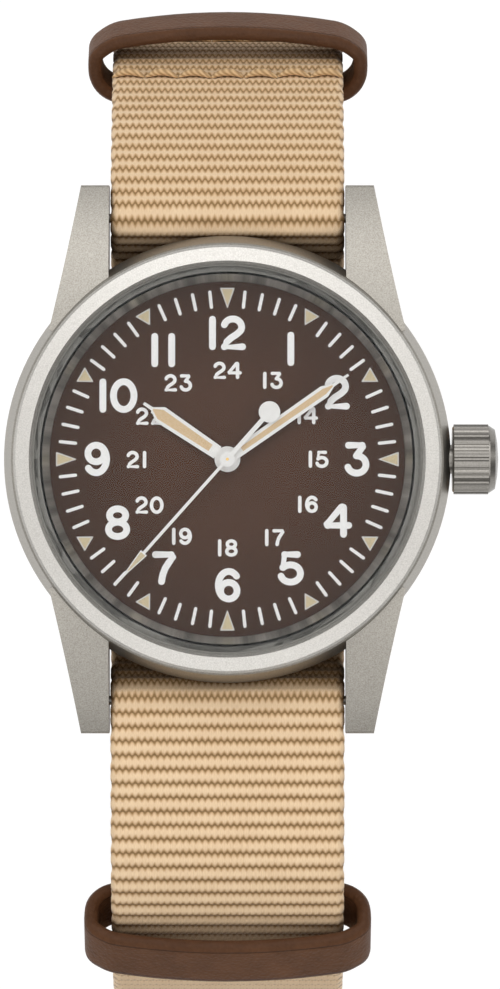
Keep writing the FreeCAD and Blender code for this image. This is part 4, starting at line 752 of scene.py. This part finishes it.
def weave_finish(name, low, mid, high, shade):
    """Spun nylon: warm floats with fine filaments along them, and painted shade where they dive under or lie
    covered.
    """
    material, tree, shader = finish(name, Roughness=0.62, Sheen_Roughness=0.5)
    math_kind = "ShaderNodeMath"
    uv = add(tree, "ShaderNodeUVMap", {"uv_map": "weave"})
    place = add(tree, "ShaderNodeSeparateXYZ", inputs={0: uv.outputs[0]})
    rib = add(tree, math_kind, {"operation": "DIVIDE"}, {0: place.outputs[1], 1: rib_pitch})
    nearest = add(tree, math_kind, {"operation": "ROUND"}, {0: rib.outputs[0]})
    off = add(tree, math_kind, {"operation": "PINGPONG"}, {0: rib.outputs[0], 1: 0.5})
    odd = add(tree, math_kind, {"operation": "PINGPONG"}, {0: nearest.outputs[0], 1: 1.0})
    shift = add(tree, math_kind, {"operation": "MULTIPLY"}, {0: odd.outputs[0], 1: 0.5})
    floats = add(tree, math_kind, {"operation": "MULTIPLY_ADD"},
                 {0: place.outputs[0], 1: 1 / tooth_pitch, 2: shift.outputs[0]})
    side = add(tree, math_kind, {"operation": "PINGPONG"}, {0: floats.outputs[0], 1: 0.5})
    # Painted shade darkens the gap that opens between two floats towards the rib's edge, and fills the
    # groove between ribs.
    gap = add(tree, math_kind, {"operation": "MULTIPLY"}, {0: side.outputs[0], 1: off.outputs[0]})
    gap = add(tree, math_kind, {"operation": "MULTIPLY_ADD", "use_clamp": True},
              {0: gap.outputs[0], 1: gap_strength, 2: gap_start})
    groove = add(tree, math_kind, {"operation": "MULTIPLY"}, {0: off.outputs[0], 1: 2.0})
    groove = add(tree, math_kind, {"operation": "POWER"}, {0: groove.outputs[0], 1: groove_sharpness})
    depth = add(tree, math_kind, {"operation": "MULTIPLY_ADD"},
                {0: groove.outputs[0], 1: groove_shade, 2: gap.outputs[0]})
    stretch = add(tree, "ShaderNodeMapping", inputs={"Vector": uv.outputs[0], "Scale": filament_stretch})
    yarn = add(tree, "ShaderNodeTexNoise", inputs={"Vector": stretch.outputs[0], "Scale": 1.0, "Detail": 3.0,
                                                   "Roughness": 0.65})
    broad = add(tree, "ShaderNodeTexNoise", inputs={"Vector": uv.outputs[0], "Scale": 0.35, "Detail": 2.0})
    tone = add(tree, math_kind, {"operation": "MULTIPLY_ADD"}, {0: yarn.outputs["Fac"], 1: 0.5, 2: 0.54})
    tone = add(tree, math_kind, {"operation": "SUBTRACT"}, {0: tone.outputs[0], 1: depth.outputs[0]})
    tone = add(tree, math_kind, {"operation": "MULTIPLY_ADD"},
               {0: broad.outputs["Fac"], 1: 0.16, 2: tone.outputs[0]})
    ramp = add(tree, "ShaderNodeValToRGB", inputs={0: tone.outputs[0]})
    ramp.color_ramp.elements[0].position = 0.15
    ramp.color_ramp.elements[0].color = linear(low)
    ramp.color_ramp.elements[1].position = 0.95
    ramp.color_ramp.elements[1].color = linear(high)
    centre = ramp.color_ramp.elements.new(0.55)
    centre.color = linear(mid)
    # Painted shade where keeper or case stand close over the web: darker, browner, without gloss or sheen.
    painted_shade_occlusion = add(tree, "ShaderNodeAmbientOcclusion", {"samples": 6}, {"Distance": painted_shade_reach})
    painted_shade_share = add(tree, "ShaderNodeMapRange",
               inputs={"Value": painted_shade_occlusion.outputs["AO"], "From Min": 0.10, "From Max": 0.46,
                       "To Min": deepest_shade, "To Max": 0.0})
    shaded = add(tree, "ShaderNodeMix", {"data_type": "RGBA"},
                 {"Factor": painted_shade_share.outputs[0], 6: ramp.outputs[0], 7: linear(shade)})
    tree.links.new(shaded.outputs[2], shader.inputs["Base Color"])
    for socket, open_value in (("Specular IOR Level", web_gloss), ("Sheen Weight", web_sheen)):
        gloss = add(tree, "ShaderNodeMapRange", inputs={"Value": painted_shade_share.outputs[0], "From Max": deepest_shade,
                                                        "To Min": open_value, "To Max": 0.0})
        tree.links.new(gloss.outputs[0], shader.inputs[socket])
    height = add(tree, math_kind, {"operation": "MULTIPLY"}, {0: yarn.outputs["Fac"], 1: 0.25})
    height = add(tree, math_kind, {"operation": "SUBTRACT"}, {0: height.outputs[0], 1: depth.outputs[0]})
    bump = add(tree, "ShaderNodeBump",
               inputs={"Height": height.outputs[0], "Distance": web_relief, "Strength": 1.0})
    tree.links.new(bump.outputs[0], shader.inputs["Normal"])
    return material


beige_webbing = weave_finish("beige_nylon_webbing", "#9c7a4c", "#d6b084", "#f7dab4", "#3a1f07")

# Eight holes from near the tail on, and a slot for the tongue in the fold round the buckle bar, which
# is the ninth to the eleventh part of the upper line.
hole_count = 8
tail_to_hole = 15.0
hole_step = 6.5
slot_spare = 0.6
cut_end_radius = 0.5
tail_radius = 6.0
before_fold = 8
with_fold = 11
tail_run = line_length(lower_line)
hole_places = [-(tail_run - tail_to_hole - index * hole_step) for index in range(hole_count)]
fold_from = line_length(upper_line[:before_fold])
fold_to = line_length(upper_line[:with_fold])
strap = woven("long_strap", start_low, upper_line, lower_line, cut_end_radius, tail_radius, hole_places,
              (fold_from - slot_spare, fold_to + slot_spare))
strap.data.materials.append(beige_webbing)
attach(strap, "watch")
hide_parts("main_strap")
short_strap = woven("short_strap", start_under, short_upper_line, short_lower_line,
                    cut_end_radius, cut_end_radius)
short_strap.data.materials.append(beige_webbing)
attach(short_strap, "watch")
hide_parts("under_strap")

# The holes are melted open with a hot iron, which leaves a smooth, darker rim on both faces.
melted_nylon, tree, shader = finish("melted_nylon", Roughness=0.35)
grain(tree, shader, 0.4 * mm, 0.02 * mm, "#8c6a42", "#a98659")
rim_radius = 1.17 * mm
rim_thickness = 0.27 * mm
rim_stretch = 2.35
rims = []
for distance in hole_places:
    y, z, heading = two_way(start_low, upper_line, lower_line, distance)
    bpy.ops.object.select_all(action="DESELECT")
    bpy.ops.mesh.primitive_torus_add(major_radius=rim_radius, minor_radius=rim_thickness, major_segments=32,
                                     minor_segments=10, location=(0, y * mm, (z + head_lift) * mm))
    bpy.context.object.scale.z = rim_stretch
    rims.append(bpy.context.object)
rim = settle(join(rims, "hole_rims"))
bpy.ops.object.shade_smooth()
rim.data.materials.append(melted_nylon)
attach(rim, "watch")


# Keepers. Three loops of vegetable-tanned leather, about 5 mm wide and 1.2 mm thick, skived and glued shut,
# with edges creased and burnished round, and painted shade on them. They stand a little proud in the middle.

# Millimetres. The leather is pulled down at its sides and hugs the web below, its sides waver a
# little, its edges are rounded over the last 0.62 and carry painted shade over the last 0.55.
keeper_leather = 1.2
keeper_width = 4.9
ring_width = 5.3
keeper_corner = 2.9
seam_distance = 39.4595
keeper_step = 4.35
web_step = 1.32
pull_reach = 1.2
side_pull = 0.62
most_pull = 1.9
hug = 0.12
hug_width = 8.2
quarter_turn = 1.57
waver = 0.010
waver_pace = (1.1, 0.7)
corner_steps = 12
face_cuts = 11
round_reach = 0.62
round_span = 0.64
edge_shade_reach = 0.55
edge_shade_span = 0.5


def place_on_line(piece, place, mirror=False):
    """Moves a piece drawn flat (X across, Y along, Z outward) to its place on the strap, and settles it."""
    y, z, heading = place
    if mirror:
        y, heading = -y, -heading
    turn = Matrix.Rotation(math.radians(heading), 4, "X")
    piece.matrix_world = Matrix.Translation((0, y * mm, (z + head_lift) * mm)) @ turn
    settle(piece)


def leather_band(name, low, high, half, width):
    """A closed leather band round the strap: a box open at its sides is rounded, bent and thickened."""
    bpy.ops.object.select_all(action="DESELECT")
    bpy.ops.mesh.primitive_cube_add(size=1.0, location=(0, 0, (low + high) / 2 * mm))
    band = bpy.context.object
    band.name = name
    band.scale = (half * 2 * mm, width * mm, (high - low + keeper_leather * 2) * mm)
    settle(band)
    bpy.ops.object.mode_set(mode="EDIT")
    bpy.ops.mesh.select_mode(type="FACE")
    bpy.ops.mesh.select_all(action="DESELECT")
    bpy.ops.object.mode_set(mode="OBJECT")
    for face in band.data.polygons:
        face.select = abs(face.normal.y) > 0.9
    bpy.ops.object.mode_set(mode="EDIT")
    bpy.ops.mesh.delete(type="ONLY_FACE")
    bpy.ops.mesh.select_mode(type="EDGE")
    bpy.ops.mesh.select_all(action="DESELECT")
    bpy.ops.object.mode_set(mode="OBJECT")
    for edge in band.data.edges:
        a, b = (band.data.vertices[v].co for v in edge.vertices)
        edge.select = abs(a.y - b.y) > mm
    bpy.ops.object.mode_set(mode="EDIT")
    bpy.ops.mesh.bevel(offset=keeper_corner * mm, segments=corner_steps)
    bpy.ops.mesh.select_all(action="DESELECT")
    bpy.ops.object.mode_set(mode="OBJECT")
    for edge in band.data.edges:
        a, b = (band.data.vertices[v].co for v in edge.vertices)
        edge.select = (a - b).length > mm
    bpy.ops.object.mode_set(mode="EDIT")
    bpy.ops.mesh.subdivide(number_cuts=face_cuts)
    bpy.ops.mesh.select_all(action="SELECT")
    bpy.ops.mesh.remove_doubles(threshold=0.002 * mm)
    bpy.ops.mesh.normals_make_consistent(inside=False)
    bpy.ops.object.mode_set(mode="OBJECT")
    # The leather stands highest in the middle and falls off towards its sides, where it is pulled down.
    # Its rows crowd towards the edges, which are the parts that get rounded.
    top = high + keeper_leather
    for vertex in band.data.vertices:
        x, y, z = (part / mm for part in vertex.co)
        share = min(1.0, max(0.0, (z - top) / (keeper_corner + pull_reach) + 1))
        z -= share * side_pull * min((x / hug_width) ** 2, most_pull)
        sway = 1 + waver * math.sin(x * waver_pace[0] + z * waver_pace[1])
        y = math.sin(y / width * math.pi) * width / 2 * sway
        outward = math.sin(min(1.0, abs(x) / hug_width) * quarter_turn)
        x -= math.copysign(hug * outward * (1 - share) * abs(z / top), x)
        vertex.co = (x * mm, y * mm, z * mm)
    wall = band.modifiers.new("wall", "SOLIDIFY")
    wall.thickness = keeper_leather * mm
    wall.offset = -1.0
    wall.use_even_offset = True
    outer_count = len(band.data.vertices)
    bpy.ops.object.modifier_apply(modifier="wall")
    # Burnishing rounds the edges: towards them the outer and the inner face draw together.
    for outer, inner in zip(band.data.vertices[:outer_count], band.data.vertices[outer_count:]):
        into_edge = max(0.0, abs(outer.co.y) / mm - width / 2 + round_reach) / round_span
        draw = (1 - math.sqrt(1 - min(1.0, into_edge) ** 2)) / 2
        gap = inner.co - outer.co
        outer.co += gap * draw
        inner.co -= gap * draw
    # Painted shade: a share that darkens the leather's colour towards each edge.
    layer = band.data.attributes.new("edge_shade", "FLOAT", "POINT")
    for vertex, edge_share in zip(band.data.vertices, layer.data):
        edge_share.value = min(1.0, max(0.0, (abs(vertex.co.y) / mm - width / 2 + edge_shade_reach) / edge_shade_span))
    bpy.ops.object.shade_smooth()
    return band


# Leather: pebbled grain with fine creases, warm mottled brown and a waxy shine. Its edges are darkened
# with painted shade, and the dark line of the creasing iron runs where that shade starts.
pebble_size = 0.30 * mm
crease_size = 0.45 * mm
clouds_per_metre = 420.0
leather_relief = 0.05 * mm
iron_place = 0.12
iron_half = 0.06
iron_dark = 0.55
edge_shade_dark = 0.42
leather, tree, shader = finish("waxed_brown_leather", Roughness=0.52, Specular_IOR_Level=0.16)
at = add(tree, "ShaderNodeTexCoord")
edge_shade = add(tree, "ShaderNodeAttribute", {"attribute_name": "edge_shade"})
pebble = add(tree, "ShaderNodeTexVoronoi", {"feature": "SMOOTH_F1"},
             {"Vector": at.outputs["Object"], "Scale": 1 / pebble_size, "Smoothness": 0.6})
crease = add(tree, "ShaderNodeTexNoise", inputs={"Vector": at.outputs["Object"], "Scale": 1 / crease_size,
                                                 "Detail": 5.0, "Roughness": 0.7})
cloud = add(tree, "ShaderNodeTexNoise",
            inputs={"Vector": at.outputs["Object"], "Scale": clouds_per_metre, "Detail": 3.0})
height = add(tree, "ShaderNodeMath", {"operation": "MULTIPLY_ADD"},
             {0: crease.outputs["Fac"], 1: 0.9, 2: pebble.outputs["Distance"]})
iron = add(tree, "ShaderNodeMath", {"operation": "COMPARE"},
           {0: edge_shade.outputs["Fac"], 1: iron_place, 2: iron_half})
height = add(tree, "ShaderNodeMath", {"operation": "SUBTRACT"}, {0: height.outputs[0], 1: iron.outputs[0]})
bump = add(tree, "ShaderNodeBump",
           inputs={"Height": height.outputs[0], "Distance": leather_relief, "Strength": 1.0})
tree.links.new(bump.outputs[0], shader.inputs["Normal"])
mottle = add(tree, "ShaderNodeMath", {"operation": "MULTIPLY"}, {0: cloud.outputs["Fac"], 1: 0.6})
mottle = add(tree, "ShaderNodeMath", {"operation": "MULTIPLY_ADD"},
             {0: crease.outputs["Fac"], 1: 0.5, 2: mottle.outputs[0]})
hide = add(tree, "ShaderNodeMix", {"data_type": "RGBA"},
           {"Factor": mottle.outputs[0], 6: linear("#442b1a"), 7: linear("#7a5237")})
# Painted shade on the edges, mixed into the leather's colour by the edge_shade share.
edge_painted_shade = add(tree, "ShaderNodeMath", {"operation": "MULTIPLY"}, {0: edge_shade.outputs["Fac"], 1: edge_shade_dark})
edge_painted_shade = add(tree, "ShaderNodeMix", {"data_type": "RGBA"},
           {"Factor": edge_painted_shade.outputs[0], 6: hide.outputs[2], 7: linear("#2c1a10")})
line = add(tree, "ShaderNodeMath", {"operation": "MULTIPLY"}, {0: iron.outputs[0], 1: iron_dark})
line = add(tree, "ShaderNodeMix", {"data_type": "RGBA"},
           {"Factor": line.outputs[0], 6: edge_painted_shade.outputs[2], 7: linear("#24150c")})
tree.links.new(line.outputs[2], shader.inputs["Base Color"])

# Name, node, lowest and highest inner face, half the breadth, band width, place, line and side.
under_room = 0.2
keeper_low = -web_half - web_step - under_room
ring_low = -2.95 + keeper_leather / 2
top_keeper_at = seam_distance + keeper_step
buckle_keeper_at = 101.6548
ring_at = 44.7
for name, node, low, high, half, width, distance, line, mirror in (
        ("leather_keeper_top", "top_keeper", keeper_low, 2.5, 12.2, keeper_width,
         top_keeper_at, upper_line, False),
        ("leather_keeper_buckle", "buckle_keeper", keeper_low, 1.85, 12.05, keeper_width,
         buckle_keeper_at, upper_line, False),
        ("leather_ring", "ring_keeper", ring_low, 2.6, 12.4, ring_width,
         ring_at, lower_line, True)):
    band = leather_band(name, low, high, half, width)
    place_on_line(band, along(start_low, line, distance), mirror)
    band.data.materials.append(leather)
    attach(band, "watch")
    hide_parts(node)


# Seam stitches. Heavy beige polyester thread in a lock stitch across the strap, on both sides of the
# top and the buckle keeper. A stitch is arched, pulled down at its ends, and lies a touch uneven.

# Twisted thread: plies run round it at a slant, with a soft sheen.
ply_pitch = 0.9 * mm
ply_relief = 0.03 * mm
thread, tree, shader = finish("twisted_polyester_thread", Roughness=0.6, Sheen_Weight=0.2)
at = add(tree, "ShaderNodeTexCoord")
twist = add(tree, "ShaderNodeTexWave", {"wave_type": "BANDS", "bands_direction": "DIAGONAL"},
            {"Vector": at.outputs["Object"], "Scale": 1 / ply_pitch, "Distortion": 1.5})
bump = add(tree, "ShaderNodeBump",
           inputs={"Height": twist.outputs["Fac"], "Distance": ply_relief, "Strength": 1.0})
tree.links.new(bump.outputs[0], shader.inputs["Normal"])
shade = add(tree, "ShaderNodeMix", {"data_type": "RGBA"},
            {"Factor": twist.outputs["Fac"], 6: linear("#a98457"), 7: linear("#dcb98a")})
tree.links.new(shade.outputs[2], shader.inputs["Base Color"])

# Millimetres, and radians for the slant. Bow and arch are the rise in the middle and the fall to the end.
stitches_per_seam = 7
stitch_pitch = 2.87
stitch_half = 1.43
thread_radius = 0.34
stitch_bow = (0.2, 0.5)
stitch_arch = (0.20, 0.26)
most_slant = 0.05
most_slip = (0.05, 0.06)
buckle_seam_step = keeper_step - 0.4
random.seed(7)
stitches = []
for distance in (top_keeper_at - keeper_step, top_keeper_at + keeper_step,
                 buckle_keeper_at - buckle_seam_step, buckle_keeper_at + buckle_seam_step):
    for index in range(stitches_per_seam):
        x = (index - stitches_per_seam // 2) * stitch_pitch
        slant = random.uniform(-most_slant, most_slant)
        bpy.ops.object.select_all(action="DESELECT")
        bpy.ops.mesh.primitive_uv_sphere_add(segments=16, ring_count=12, radius=1.0,
                                             rotation=(0, math.pi / 2, slant))
        stitch = bpy.context.object
        stitch.scale = (thread_radius * mm, thread_radius * mm, stitch_half * mm)
        slip_x = random.uniform(-most_slip[0], most_slip[0])
        slip_y = random.uniform(-most_slip[1], most_slip[1])
        stitch.location = ((x + slip_x) * mm, slip_y * mm, web_half * mm)
        settle(stitch)
        for vertex in stitch.data.vertices:
            reach = (vertex.co.x / mm - x) / stitch_half
            vertex.co.y += (stitch_bow[0] - stitch_bow[1] * reach ** 2) * mm
            vertex.co.z += (stitch_arch[0] - stitch_arch[1] * reach ** 2) * mm
        place_on_line(stitch, along(start_low, upper_line, distance))
        stitches.append(stitch)
seams = join(stitches, "seam_threads")
bpy.ops.object.shade_smooth()
seams.data.materials.append(thread)
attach(seams, "watch")
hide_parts("seam_stitches")


# Buckle. A bow of steel rod with flattened ears on a straight bar, and a stamped tongue that is
# rolled round the bar; all of it tumbled and satin finished like the crown.

buckle_steel, tree, shader = finish("tumbled_steel", Metallic=1.0, Roughness=0.34)
grain(tree, shader, 0.2 * mm, 0.004 * mm, "#a5a19a", "#c2beb7")
for name in ("buckle_frame", "buckle_bar", "buckle_tongue"):
    dress(name, buckle_steel)
